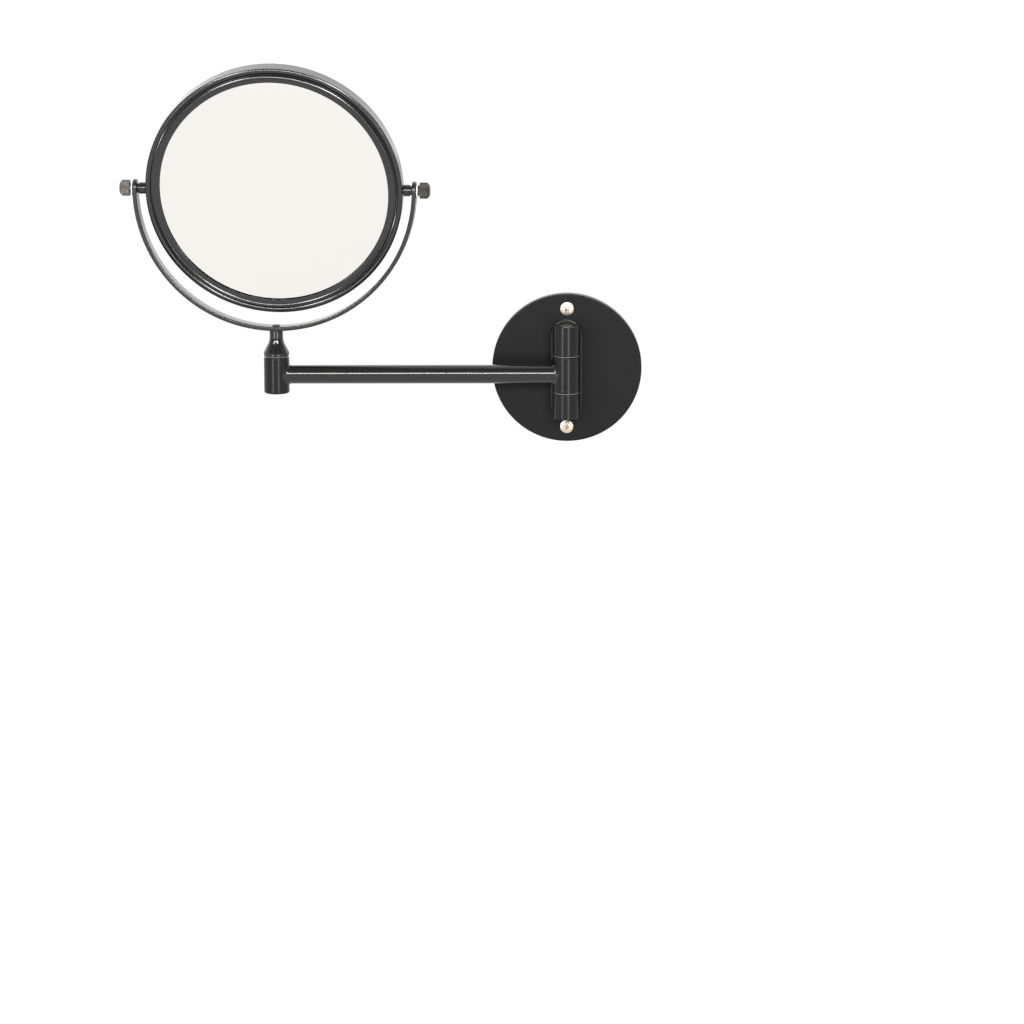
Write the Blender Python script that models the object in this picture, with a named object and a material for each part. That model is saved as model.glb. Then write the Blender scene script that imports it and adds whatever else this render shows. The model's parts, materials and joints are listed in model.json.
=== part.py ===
"""Wall-mounted shaving mirror: a single swing arm, a swivelling half-ring yoke and a tilting
two-sided mirror head held by two clamping knobs.

Frame: origin at the centre of the wall plate's back face, +Z up, +Y into the wall. The arm
points along -X, a few degrees off the wall. Every length is in metres and every angle in degrees.
"""

import math

import bmesh
import bpy
from mathutils import Matrix, Vector

# Pose at rest
ARM_SWING = 2.0
HEAD_YAW = -2.5
HEAD_TILT = 12.5

# Fits
GAP = 0.0003
ROUND = 48
SMALL_ROUND = 24
FASTENER_ROUND = 16
OVERRUN = 0.0020

# Wall plate
PLATE_RADIUS = 0.050
PLATE_DEPTH = 0.0070
PLATE_EDGE = 0.0006
RELIEF_INNER = 0.0155
RELIEF_OUTER = 0.0330
RELIEF_DEPTH = 0.0033
WALL_SCREW_OFFSET = 0.040
WALL_SCREW_HEAD_RADIUS = 0.0045
WALL_SCREW_SHANK_RADIUS = 0.0024
WALL_SCREW_CONE = 0.0025
WALL_SCREW_CROWN = 0.0008
RECESS_LENGTH = 0.0046
RECESS_WIDTH = 0.0011
RECESS_DEPTH = 0.0022

# Bracket and its hinge
LUG_WIDTH = 0.0220
LUG_HEIGHT = 0.0680
LUG_FRONT = 0.0135
LUG_CHAMFER = 0.0010
HINGE_STANDOFF = 0.0235
HINGE_LEVEL = -0.0012
HINGE_TOP = 0.0327
HINGE_BOTTOM = -0.0295
KNUCKLE_RADIUS = 0.0090
SEAM_HEIGHT = 0.0125
SEAM_WASHER = 0.0005
KNUCKLE_CHAMFER = 0.0008
WEB_WIDTH = 0.0120
WEB_TO_AXIS = 0.0055
PIN_RADIUS = 0.0040
PIN_HEAD_RADIUS = 0.0060
PIN_HEAD = 0.0036
PIN_THREAD_RADIUS = 0.0030
PIN_END = 0.0026
PIN_SOCKET_RADIUS = 0.0025
PIN_SOCKET_FLOOR = 0.0014
POCKET_RADIUS = 0.0065
UPPER_POCKET = 0.0065
LOWER_POCKET = 0.0090
CAP_THICKNESS = 0.0018
HINGE_SPRING_WASHER = 0.0010
HINGE_NUT_FLATS = 0.0100
HINGE_NUT_HEIGHT = 0.0045
BUSH_WALL = 0.0015
BUSH_LENGTH = 0.0100
BRACKET_SCREW_OFFSET = 0.0230
BRACKET_SCREW_RADIUS = 0.0025
BRACKET_SCREW_HEAD_RADIUS = 0.0042
BRACKET_SCREW_HEAD = 0.0024
BRACKET_SCREW_REACH = 0.0060
BRACKET_SOCKET_RADIUS = 0.0015

# Arm and the barrel at its free end
ARM_LENGTH = 0.1928
TUBE_RADIUS = 0.00625
TUBE_WALL = 0.0014
SPIGOT_LENGTH = 0.0120
BARREL_RADIUS = 0.0085
BARREL_BOTTOM = -0.0124
BARREL_TOP = 0.0117
BARREL_POCKET_RADIUS = 0.0060
BARREL_POCKET = 0.0086
BARREL_CAP_INSET = 0.0002

# Swivel neck
NECK_RADIUS = 0.0045
FLARE_START = 0.0255
FLARE_RADIUS = 0.0110
FLARE_ANGLE = 27.0
SHOULDER_HEIGHT = 0.0146
SHOULDER_BEVEL = 0.0005
SPINDLE_RADIUS = 0.0030
SPINDLE_THREAD_RADIUS = 0.0025
SPINDLE_STEP = -0.0038
SPINDLE_END = -0.0100
SWIVEL_SPRING_WASHER = 0.0008
SWIVEL_WASHER_RADIUS = 0.0050
SWIVEL_NUT_FLATS = 0.0080
SWIVEL_NUT_HEIGHT = 0.0038

# Yoke
PIVOT_HEIGHT = 0.1239
YOKE_RADIUS = 0.0940
YOKE_THICKNESS = 0.0028
YOKE_WIDTH = 0.0120
YOKE_STEPS = 30
TIP_ANGLES = (82.0, 66.0, 48.0, 30.0, 14.0)
NECK_TOP = PIVOT_HEIGHT - YOKE_RADIUS - GAP
YOKE_SCREW_RADIUS = 0.0015
YOKE_SCREW_HEAD_RADIUS = 0.00265
YOKE_SCREW_HEAD = 0.0007
YOKE_SCREW_REACH = 0.0090

# Mirror head
FRAME_RADIUS = 0.0852
BAND_INNER_RADIUS = 0.0817
BAND_SIDE = 0.0044
BAND_CREST = 0.0062
BEAD_ANGLES = (0.0, 30.0, 60.0, 90.0, 120.0, 150.0, 180.0)
BEZEL_CREST_RADIUS = 0.0796
BEZEL_CREST_WIDTH = 0.0014
BEZEL_CREST = 0.0072
BEZEL_GROOVE = 0.0050
BEZEL_EDGE = 0.0064
BEZEL_SEAT_RADIUS = 0.0792
GLASS_VIEW_RADIUS = 0.0758
GLASS_RADIUS = 0.0789
GLASS_FRONT = 0.0058
GLASS_THICKNESS = 0.0020
GROUND_EDGE = 0.0003
MAGNIFIER_CURVE_RADIUS = 1.0
MAGNIFIER_STEPS = 3
SPACER_INNER_RADIUS = 0.0761
PAD_RADIUS = 0.0750
PAD_THICKNESS = 0.0020

# Pivots and knobs, measured outwards along the tilt axis
BOSS_RADIUS = 0.0039
BOSS_RIVET_RADIUS = 0.0025
STUD_RADIUS = 0.0020
STUD_DEPTH = 0.0050
TAB_HOLE_RADIUS = 0.0024
NYLON_RADIUS = 0.0051
NYLON_THICKNESS = 0.0006
KNOB_NECK_RADIUS = 0.0035
KNOB_NECK = 0.0010
KNOB_RADIUS = 0.0054
KNOB_LENGTH = 0.0070
KNOB_EDGE = 0.0004
KNOB_CHAMFER = 0.0016
KNOB_DOME = 0.0005
KNOB_STUD_DEPTH = 0.0038
KNOB_FLUTES = 16
KNOB_FLUTE_DEPTH = 0.00035


# ---------------------------------------------------------------- materials and frames


def material(name, color, roughness, metallic):
    """A Principled material with one colour."""
    made = bpy.data.materials.new(name)
    made.use_nodes = True
    shader = made.node_tree.nodes["Principled BSDF"]
    shader.inputs["Base Color"].default_value = (*color, 1.0)
    shader.inputs["Roughness"].default_value = roughness
    shader.inputs["Metallic"].default_value = metallic
    made.diffuse_color = (*color, 1.0)
    return made


def make_materials():
    """The finishes, by slot name."""
    return {
        "black_powder_coat": material("black_powder_coat", (0.020, 0.019, 0.019), 0.38, 0.0),
        "knob_black": material("knob_black", (0.050, 0.045, 0.042), 0.45, 0.0),
        "nickel_screw": material("nickel_screw", (0.75, 0.70, 0.63), 0.30, 1.0),
        "zinc_steel": material("zinc_steel", (0.55, 0.55, 0.56), 0.35, 1.0),
        "black_screw": material("black_screw", (0.030, 0.029, 0.029), 0.40, 1.0),
        "white_nylon": material("white_nylon", (0.80, 0.80, 0.80), 0.40, 0.0),
        "grey_nylon": material("grey_nylon", (0.10, 0.10, 0.11), 0.40, 0.0),
        "plain_mirror": material("plain_mirror", (0.93, 0.93, 0.92), 0.02, 1.0),
        "spacer_plastic": material("spacer_plastic", (0.10, 0.10, 0.10), 0.60, 0.0),
        "foam": material("foam", (0.25, 0.25, 0.25), 0.90, 0.0),
    }


def pivot(name, parent, location, axis="Z", degrees=0.0):
    """An empty that holds the pieces turning about one joint."""
    made = bpy.data.objects.new(name, None)
    bpy.context.scene.collection.objects.link(made)
    made.parent = parent
    made.matrix_local = Matrix.Translation(location) @ Matrix.Rotation(math.radians(degrees), 4, axis)
    return made


# ---------------------------------------------------------------- modelling helpers

TURN = {
    "Z": Matrix.Identity(4),
    "Y": Matrix.Rotation(math.radians(-90.0), 4, "X"),
    "X": Matrix.Rotation(math.radians(90.0), 4, "Y"),
}


def place(name, shape, parent, finish=None, shift=(0.0, 0.0, 0.0)):
    """Turns a bmesh into an object under its joint's empty."""
    bmesh.ops.recalc_face_normals(shape, faces=shape.faces)
    mesh = bpy.data.meshes.new(name)
    shape.to_mesh(mesh)
    shape.free()
    made = bpy.data.objects.new(name, mesh)
    bpy.context.scene.collection.objects.link(made)
    made.parent = parent
    made.location = shift
    if finish:
        mesh.materials.append(finish)
        mesh.shade_smooth()
        mesh.set_sharp_from_angle(angle=math.radians(30.0))
    return made


def ring_of(shape, radius, height, count):
    """One ring of vertices about Z, or a single one where the radius is zero."""
    if radius == 0.0:
        return [shape.verts.new((0.0, 0.0, height))]
    ring = []
    for index in range(count):
        angle = math.tau * index / count
        ring.append(shape.verts.new((radius * math.cos(angle), radius * math.sin(angle), height)))
    return ring


def join_rings(shape, lower, upper):
    """Faces between two rings, either of which may be a single vertex."""
    count = max(len(lower), len(upper))
    if count == 1:
        return
    for index in range(count):
        following = (index + 1) % count
        corners = [lower[index % len(lower)], lower[following % len(lower)]]
        corners += [upper[following % len(upper)], upper[index % len(upper)]]
        shape.faces.new(list(dict.fromkeys(corners)))


def turned_shape(profile, count=SMALL_ROUND, axis="Z"):
    """A turned solid. The profile is a closed outline of (radius, height) points."""
    shape = bmesh.new()
    rings = [ring_of(shape, radius, height, count) for radius, height in profile]
    for index, ring in enumerate(rings):
        join_rings(shape, ring, rings[(index + 1) % len(rings)])
    shape.transform(TURN[axis])
    return shape


def turned(name, profile, parent, finish=None, count=SMALL_ROUND, axis="Z", shift=(0.0, 0.0, 0.0)):
    """A named turned piece."""
    return place(name, turned_shape(profile, count, axis), parent, finish, shift)


def rod(radius, low, high):
    """Outline of a plain cylinder."""
    return [(0.0, low), (radius, low), (radius, high), (0.0, high)]


def tube(inner, outer, low, high):
    """Outline of a plain sleeve."""
    return [(inner, low), (outer, low), (outer, high), (inner, high)]


def stepped(*steps):
    """Outline of a shaft from its lowest step up. Each step is (radius, low, high)."""
    outline = [(0.0, steps[0][1])]
    for radius, low, high in steps:
        outline += [(radius, low), (radius, high)]
    return outline + [(0.0, steps[-1][2])]


def arc(centre, radius, start, end, steps):
    """Points (radius, height) along an arc of a profile."""
    points = []
    for index in range(steps + 1):
        angle = math.radians(start + (end - start) * index / steps)
        points.append((centre[0] + radius * math.cos(angle), centre[1] + radius * math.sin(angle)))
    return points


def block(size, centre=(0.0, 0.0, 0.0)):
    """A box of the given sides."""
    shape = bmesh.new()
    bmesh.ops.create_cube(shape, size=1.0)
    shape.transform(Matrix.Translation(centre) @ Matrix.Diagonal((*size, 1.0)))
    return shape


def extruded(outline, low, high):
    """A prism along Y from an outline of (x, z) points."""
    shape = bmesh.new()
    front = [shape.verts.new((x, low, z)) for x, z in outline]
    back = [shape.verts.new((x, high, z)) for x, z in outline]
    shape.faces.new(front)
    shape.faces.new(back)
    join_rings(shape, front, back)
    return shape


def combine(target, operation, name, shape, shift=(0.0, 0.0, 0.0)):
    """A Boolean of the target with a helper that stays out of the assembly."""
    helper = place(name, shape, target.parent, shift=shift)
    helper.hide_render = True
    helper.display_type = "WIRE"
    modifier = target.modifiers.new(name, "BOOLEAN")
    modifier.operation = operation
    modifier.object = helper


def cut(target, name, shape, shift=(0.0, 0.0, 0.0)):
    """Takes the shape away from the target."""
    combine(target, "DIFFERENCE", "cut_" + name, shape, shift)


def add(target, name, shape, shift=(0.0, 0.0, 0.0)):
    """Joins the shape to the target."""
    combine(target, "UNION", "add_" + name, shape, shift)


def nut(name, parent, finish, across_flats, low, high, bore):
    """A hexagon nut with a plain round hole."""
    outside = turned_shape(rod(across_flats / math.sqrt(3.0), low, high), 6)
    made = place(name, outside, parent, finish)
    cut(made, name + "_bore", turned_shape(rod(bore, low - GAP, high + GAP), FASTENER_ROUND))


def cross_recess(target, name, centre):
    """A cross-shaped driver recess in a head that faces -Y."""
    middle = (centre[0], centre[1] + RECESS_DEPTH / 2.0, centre[2])
    cut(target, name + "_slot", block((RECESS_LENGTH, RECESS_DEPTH, RECESS_WIDTH), middle))
    cut(target, name + "_cross", block((RECESS_WIDTH, RECESS_DEPTH, RECESS_LENGTH), middle))


# ---------------------------------------------------------------- wall mount


def wall_plate(wall, finish):
    """The round plate, relieved behind, with countersunk holes for the two wall screws."""
    front = -PLATE_DEPTH
    outline = [(0.0, front), (PLATE_RADIUS - PLATE_EDGE, front), (PLATE_RADIUS, front + PLATE_EDGE)]
    outline += [(PLATE_RADIUS, 0.0), (RELIEF_OUTER, 0.0), (RELIEF_OUTER, -RELIEF_DEPTH)]
    outline += [(RELIEF_INNER, -RELIEF_DEPTH), (RELIEF_INNER, 0.0), (0.0, 0.0)]
    plate = turned("wall_plate", outline, wall, finish, ROUND, "Y")
    shank = rod(WALL_SCREW_SHANK_RADIUS + GAP, -GAP, PLATE_DEPTH + GAP)
    cone = [(0.0, -GAP), (WALL_SCREW_HEAD_RADIUS + 2.0 * GAP, -GAP)]
    cone += [(WALL_SCREW_HEAD_RADIUS + GAP, 0.0), (WALL_SCREW_SHANK_RADIUS + GAP, WALL_SCREW_CONE)]
    cone += [(0.0, WALL_SCREW_CONE)]
    for side, level in (("upper", WALL_SCREW_OFFSET), ("lower", -WALL_SCREW_OFFSET)):
        cut(plate, side + "_screw_hole", turned_shape(shank, FASTENER_ROUND, "Y"), (0.0, front, level))
        cut(plate, side + "_countersink", turned_shape(cone, FASTENER_ROUND, "Y"), (0.0, front, level))
    hole = rod(BRACKET_SCREW_RADIUS + GAP, -PLATE_DEPTH - GAP, GAP)
    for side, level in (("upper", BRACKET_SCREW_OFFSET), ("lower", -BRACKET_SCREW_OFFSET)):
        cut(plate, side + "_bracket_hole", turned_shape(hole, FASTENER_ROUND, "Y"), (0.0, 0.0, level))


def wall_screw(side, level, wall, finish):
    """A raised countersunk screw. Its length inside the wall is left off."""
    outline = [(0.0, -WALL_SCREW_CROWN), (0.55 * WALL_SCREW_HEAD_RADIUS, -0.75 * WALL_SCREW_CROWN)]
    outline += [(0.9 * WALL_SCREW_HEAD_RADIUS, -0.2 * WALL_SCREW_CROWN), (WALL_SCREW_HEAD_RADIUS, GAP)]
    outline += [(WALL_SCREW_SHANK_RADIUS, WALL_SCREW_CONE), (WALL_SCREW_SHANK_RADIUS, PLATE_DEPTH - GAP)]
    outline += [(0.0, PLATE_DEPTH - GAP)]
    name = "wall_screw_" + side
    screw = turned(name, outline, wall, finish, FASTENER_ROUND, "Y", (0.0, -PLATE_DEPTH, level))
    cross_recess(screw, name, (0.0, -PLATE_DEPTH - WALL_SCREW_CROWN, level))


def stadium(width, height, steps=10):
    """Outline (x, z) of an upright slot shape."""
    radius = width / 2.0
    centre = height / 2.0 - radius
    top = arc((0.0, centre), radius, 0.0, 180.0, steps)
    bottom = arc((0.0, -centre), radius, 180.0, 360.0, steps)
    return top + bottom


def knuckle_outline(low, high):
    """Outline of a knuckle with both rims chamfered."""
    edge = KNUCKLE_RADIUS - KNUCKLE_CHAMFER / 2.0
    outline = [(0.0, low), (edge, low), (KNUCKLE_RADIUS, low + KNUCKLE_CHAMFER / 2.0)]
    return outline + [(KNUCKLE_RADIUS, high - KNUCKLE_CHAMFER / 2.0), (edge, high), (0.0, high)]


def wall_bracket(wall, finish):
    """The lug and the two fixed knuckles in one casting, bored for the hinge pin."""
    back = -PLATE_DEPTH - GAP
    step = -LUG_FRONT + LUG_CHAMFER
    bracket = place("wall_bracket", extruded(stadium(LUG_WIDTH, LUG_HEIGHT), step, back), wall, finish)
    narrow = stadium(LUG_WIDTH - LUG_CHAMFER, LUG_HEIGHT - LUG_CHAMFER)
    add(bracket, "lug_face", extruded(narrow, -LUG_FRONT, back - LUG_CHAMFER))
    axis = (0.0, -HINGE_STANDOFF, HINGE_LEVEL)
    inner = SEAM_HEIGHT + SEAM_WASHER / 2.0 + GAP
    web_front = -HINGE_STANDOFF + WEB_TO_AXIS
    web_back = -LUG_FRONT + 2.0 * LUG_CHAMFER
    for side, low, high in (("upper", inner, HINGE_TOP), ("lower", HINGE_BOTTOM, -inner)):
        centre = (0.0, (web_front + web_back) / 2.0, HINGE_LEVEL + (low + high) / 2.0)
        size = (WEB_WIDTH, web_back - web_front, high - low - 2.0 * KNUCKLE_CHAMFER)
        add(bracket, side + "_web", block(size, centre))
        add(bracket, side + "_knuckle", turned_shape(knuckle_outline(low, high)), axis)
    pin_low = HINGE_BOTTOM + LOWER_POCKET
    pin_high = HINGE_TOP - UPPER_POCKET
    bore = stepped(
        (POCKET_RADIUS, HINGE_BOTTOM - GAP, pin_low),
        (PIN_RADIUS + GAP, pin_low, pin_high),
        (POCKET_RADIUS, pin_high, HINGE_TOP + GAP),
    )
    cut(bracket, "pin_bore", turned_shape(bore, FASTENER_ROUND), axis)
    hole = rod(BRACKET_SCREW_RADIUS + GAP, -PLATE_DEPTH - BRACKET_SCREW_REACH - GAP, 0.0)
    for side, level in (("upper", BRACKET_SCREW_OFFSET), ("lower", -BRACKET_SCREW_OFFSET)):
        cut(bracket, side + "_screw_hole", turned_shape(hole, FASTENER_ROUND, "Y"), (0.0, 0.0, level))


def bracket_screw(side, level, wall, finish):
    """A socket screw that holds the bracket from behind, its head in the plate's relief."""
    seat = -RELIEF_DEPTH + GAP
    outline = stepped(
        (BRACKET_SCREW_RADIUS, -PLATE_DEPTH - BRACKET_SCREW_REACH, seat),
        (BRACKET_SCREW_HEAD_RADIUS, seat, seat + BRACKET_SCREW_HEAD),
    )
    screw = turned("bracket_screw_" + side, outline, wall, finish, FASTENER_ROUND, "Y", (0.0, 0.0, level))
    socket = rod(BRACKET_SOCKET_RADIUS, 0.0, BRACKET_SCREW_HEAD)
    top = (0.0, seat + BRACKET_SCREW_HEAD / 3.0, level)
    cut(screw, "socket_" + side, turned_shape(socket, 6, "Y"), top)


def hinge_pin(hinge, finish):
    """The headed pin that the arm turns on, threaded at its lower end."""
    seat = HINGE_TOP - UPPER_POCKET + GAP
    thread_top = HINGE_BOTTOM + LOWER_POCKET
    outline = stepped(
        (PIN_THREAD_RADIUS, HINGE_BOTTOM + PIN_END, thread_top),
        (PIN_RADIUS, thread_top, seat),
        (PIN_HEAD_RADIUS, seat, seat + PIN_HEAD),
    )
    pin = turned("hinge_pin", outline, hinge, finish, FASTENER_ROUND)
    cut(pin, "pin_socket", turned_shape(rod(PIN_SOCKET_RADIUS, seat + PIN_SOCKET_FLOOR, HINGE_TOP), 6))


def hinge_lower_fixings(hinge, finish):
    """The spring washer and lock nut that load the hinge and give it its friction."""
    washer_top = HINGE_BOTTOM + LOWER_POCKET - GAP
    washer_low = washer_top - HINGE_SPRING_WASHER
    sleeve = tube(PIN_THREAD_RADIUS + GAP, PIN_HEAD_RADIUS, washer_low, washer_top)
    turned("hinge_spring_washer", sleeve, hinge, finish, FASTENER_ROUND)
    nut_top = washer_low - GAP
    hole = PIN_THREAD_RADIUS + GAP
    nut("hinge_nut", hinge, finish, HINGE_NUT_FLATS, nut_top - HINGE_NUT_HEIGHT, nut_top, hole)


def hinge_cap(side, sign, hinge, finish):
    """A pressed disc that closes one end of the hinge."""
    end = HINGE_TOP if sign > 0.0 else HINGE_BOTTOM
    ends = sorted((end, end - sign * CAP_THICKNESS))
    turned("hinge_cap_" + side, rod(POCKET_RADIUS - GAP, *ends), hinge, finish)


def hinge_washer(side, sign, hinge, finish):
    """A thin nylon ring between two knuckles."""
    low = sign * SEAM_HEIGHT - SEAM_WASHER / 2.0
    sleeve = tube(PIN_RADIUS + GAP, KNUCKLE_RADIUS - GAP, low, low + SEAM_WASHER)
    turned("hinge_washer_" + side, sleeve, hinge, finish)


# ---------------------------------------------------------------- arm


def arm_knuckle(arm, finish):
    """The middle knuckle with the spigot that carries the tube."""
    half = SEAM_HEIGHT - SEAM_WASHER / 2.0 - GAP
    knuckle = turned("arm_knuckle", knuckle_outline(-half, half), arm, finish)
    reach = KNUCKLE_RADIUS + SPIGOT_LENGTH
    spigot = rod(TUBE_RADIUS - TUBE_WALL - GAP, -reach, -KNUCKLE_RADIUS / 2.0)
    add(knuckle, "arm_spigot", turned_shape(spigot, FASTENER_ROUND, "X"))
    bore = rod(PIN_RADIUS + BUSH_WALL + 2.0 * GAP, -half - GAP, half + GAP)
    cut(knuckle, "bush_bore", turned_shape(bore))


def arm_bush(side, sign, arm, finish):
    """A nylon bush pressed into one end of the middle knuckle."""
    half = SEAM_HEIGHT - SEAM_WASHER / 2.0 - GAP
    ends = sorted((sign * (half - BUSH_LENGTH), sign * half))
    turned("arm_bush_" + side, tube(PIN_RADIUS + GAP, PIN_RADIUS + GAP + BUSH_WALL, *ends), arm, finish)


def arm_tube(arm, finish):
    """The round tube, both ends coped to the barrels that they meet."""
    sleeve = tube(TUBE_RADIUS - TUBE_WALL, TUBE_RADIUS, -ARM_LENGTH, 0.0)
    pipe = turned("arm_tube", sleeve, arm, finish, SMALL_ROUND, "X")
    height = 4.0 * TUBE_RADIUS
    cut(pipe, "hinge_cope", turned_shape(rod(KNUCKLE_RADIUS + GAP, -height, height), ROUND))
    barrel = turned_shape(rod(BARREL_RADIUS + GAP, -height, height), ROUND)
    cut(pipe, "barrel_cope", barrel, (-ARM_LENGTH, 0.0, 0.0))


def head_barrel(arm, finish):
    """The vertical barrel at the arm's end, bored for the swivel spindle and its lock nut."""
    edge = KNUCKLE_CHAMFER / 2.0
    outline = [(0.0, BARREL_BOTTOM), (BARREL_RADIUS - edge, BARREL_BOTTOM)]
    outline += [(BARREL_RADIUS, BARREL_BOTTOM + edge)]
    outline += [(BARREL_RADIUS, BARREL_TOP - edge), (BARREL_RADIUS - edge, BARREL_TOP), (0.0, BARREL_TOP)]
    place_at = (-ARM_LENGTH, 0.0, 0.0)
    barrel = turned("head_barrel", outline, arm, finish, shift=place_at)
    spigot = rod(TUBE_RADIUS - TUBE_WALL - GAP, BARREL_RADIUS / 1.2, BARREL_RADIUS + SPIGOT_LENGTH)
    add(barrel, "barrel_spigot", turned_shape(spigot, FASTENER_ROUND, "X"), place_at)
    pocket_top = BARREL_BOTTOM + BARREL_POCKET
    bore = stepped(
        (BARREL_POCKET_RADIUS, BARREL_BOTTOM - GAP, pocket_top),
        (SPINDLE_RADIUS + GAP, pocket_top, BARREL_TOP + GAP),
    )
    cut(barrel, "spindle_bore", turned_shape(bore, FASTENER_ROUND), place_at)


def barrel_cap(arm, finish):
    """The disc that closes the barrel from below."""
    plug = rod(BARREL_POCKET_RADIUS - GAP, BARREL_BOTTOM + BARREL_CAP_INSET, BARREL_BOTTOM + CAP_THICKNESS)
    turned("barrel_cap", plug, arm, finish, FASTENER_ROUND, shift=(-ARM_LENGTH, 0.0, 0.0))


# ---------------------------------------------------------------- swivel and yoke


def neck_flare():
    """Outline points of the neck from its shoulder up to its top."""
    bend = arc((NECK_RADIUS + FLARE_RADIUS, FLARE_START), FLARE_RADIUS, 180.0, 180.0 + FLARE_ANGLE, 5)
    low_radius, low_height = bend[-1]
    slope = math.tan(math.radians(FLARE_ANGLE))
    cone_start = SHOULDER_HEIGHT + SHOULDER_BEVEL
    cone_radius = low_radius + (low_height - cone_start) * slope
    return [(cone_radius, cone_start)] + bend[::-1] + [(NECK_RADIUS, NECK_TOP)]


def swivel_neck(swivel, finish):
    """The turned neck with its spindle below and the yoke screw's hole above."""
    seat = SEAM_HEIGHT + SEAM_WASHER / 2.0 + GAP
    outline = [(0.0, SPINDLE_END), (SPINDLE_THREAD_RADIUS, SPINDLE_END)]
    outline += [(SPINDLE_THREAD_RADIUS, SPINDLE_STEP), (SPINDLE_RADIUS, SPINDLE_STEP), (SPINDLE_RADIUS, seat)]
    outline += [(BARREL_RADIUS - GAP, seat), (BARREL_RADIUS, seat + GAP), (BARREL_RADIUS, SHOULDER_HEIGHT)]
    outline += neck_flare() + [(0.0, NECK_TOP)]
    neck = turned("swivel_neck", outline, swivel, finish)
    hole = rod(YOKE_SCREW_RADIUS + GAP, NECK_TOP - YOKE_SCREW_REACH + YOKE_THICKNESS, NECK_TOP + GAP)
    cut(neck, "yoke_screw_hole", turned_shape(hole, FASTENER_ROUND))


def swivel_fixings(swivel, nylon, steel):
    """The nylon ring above the barrel, and the spring washer and lock nut inside it."""
    low = SEAM_HEIGHT - SEAM_WASHER / 2.0
    ring = tube(SPINDLE_RADIUS + GAP, BARREL_RADIUS - GAP, low, low + SEAM_WASHER)
    turned("swivel_washer", ring, swivel, nylon)
    washer_top = BARREL_BOTTOM + BARREL_POCKET - GAP
    washer_low = washer_top - SWIVEL_SPRING_WASHER
    hole = SPINDLE_THREAD_RADIUS + GAP
    sleeve = tube(hole, SWIVEL_WASHER_RADIUS, washer_low, washer_top)
    turned("swivel_spring_washer", sleeve, swivel, steel, FASTENER_ROUND)
    nut_top = washer_low - GAP
    nut("swivel_nut", swivel, steel, SWIVEL_NUT_FLATS, nut_top - SWIVEL_NUT_HEIGHT, nut_top, hole)


def yoke_path():
    """Stations (centre x, centre z, outward x, outward z, half width) along the strip."""
    middle = YOKE_RADIUS - YOKE_THICKNESS / 2.0
    half = YOKE_WIDTH / 2.0
    rises = [half * math.sin(math.radians(angle)) for angle in TIP_ANGLES]
    stations = []
    for rise in rises:
        stations.append((-middle, rise, -1.0, 0.0, math.sqrt(half * half - rise * rise)))
    for index in range(YOKE_STEPS + 1):
        angle = math.pi + math.pi * index / YOKE_STEPS
        outward = (math.cos(angle), math.sin(angle))
        stations.append((middle * outward[0], middle * outward[1], *outward, half))
    for rise in reversed(rises):
        stations.append((middle, rise, 1.0, 0.0, math.sqrt(half * half - rise * rise)))
    return stations


def yoke(pivot_level, finish):
    """The half-ring strip with rounded ends, drilled for both studs and its own screw."""
    shape = bmesh.new()
    half = YOKE_THICKNESS / 2.0
    loops = []
    for x, z, out_x, out_z, width in yoke_path():
        corners = [(-half, -width), (half, -width), (half, width), (-half, width)]
        loops.append([shape.verts.new((x + out_x * o, y, z + out_z * o)) for o, y in corners])
    for first, second in zip(loops, loops[1:]):
        join_rings(shape, first, second)
    shape.faces.new(loops[0])
    shape.faces.new(loops[-1])
    strip = place("yoke", shape, pivot_level, finish)
    inner = YOKE_RADIUS - YOKE_THICKNESS
    for side, sign in (("left", -1.0), ("right", 1.0)):
        ends = sorted((sign * (inner - OVERRUN), sign * (YOKE_RADIUS + OVERRUN)))
        cut(strip, side + "_tab_hole", turned_shape(rod(TAB_HOLE_RADIUS, *ends), FASTENER_ROUND, "X"))
    hole = rod(YOKE_SCREW_RADIUS + GAP, -YOKE_RADIUS - OVERRUN, -inner + OVERRUN)
    cut(strip, "screw_hole", turned_shape(hole, FASTENER_ROUND))


def yoke_screw(pivot_level, finish):
    """The pan-head screw that fixes the yoke to its neck."""
    seat = -YOKE_RADIUS + YOKE_THICKNESS + GAP
    outline = stepped(
        (YOKE_SCREW_RADIUS, seat - YOKE_SCREW_REACH, seat),
        (YOKE_SCREW_HEAD_RADIUS, seat, seat + YOKE_SCREW_HEAD),
    )
    turned("yoke_screw", outline, pivot_level, finish, FASTENER_ROUND)


# ---------------------------------------------------------------- mirror head


def frame_band(head, finish):
    """The outer ring, with a rounded bead at each edge and a rivet hole at each pivot."""
    middle = (BAND_INNER_RADIUS + FRAME_RADIUS) / 2.0
    half = (FRAME_RADIUS - BAND_INNER_RADIUS) / 2.0
    bead = BAND_CREST - BAND_SIDE
    front = []
    for angle in BEAD_ANGLES:
        around = math.radians(angle)
        front.append((middle - half * math.cos(around), -BAND_SIDE - bead * math.sin(around)))
    back = [(radius, -height) for radius, height in reversed(front)]
    band = turned("frame_band", front + back, head, finish, ROUND, "Y")
    for side, sign in (("left", -1.0), ("right", 1.0)):
        ends = sorted((sign * (BAND_INNER_RADIUS - OVERRUN), sign * (FRAME_RADIUS + OVERRUN)))
        hole = turned_shape(rod(BOSS_RIVET_RADIUS + GAP, *ends), FASTENER_ROUND, "X")
        cut(band, side + "_rivet_hole", hole)


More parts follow.
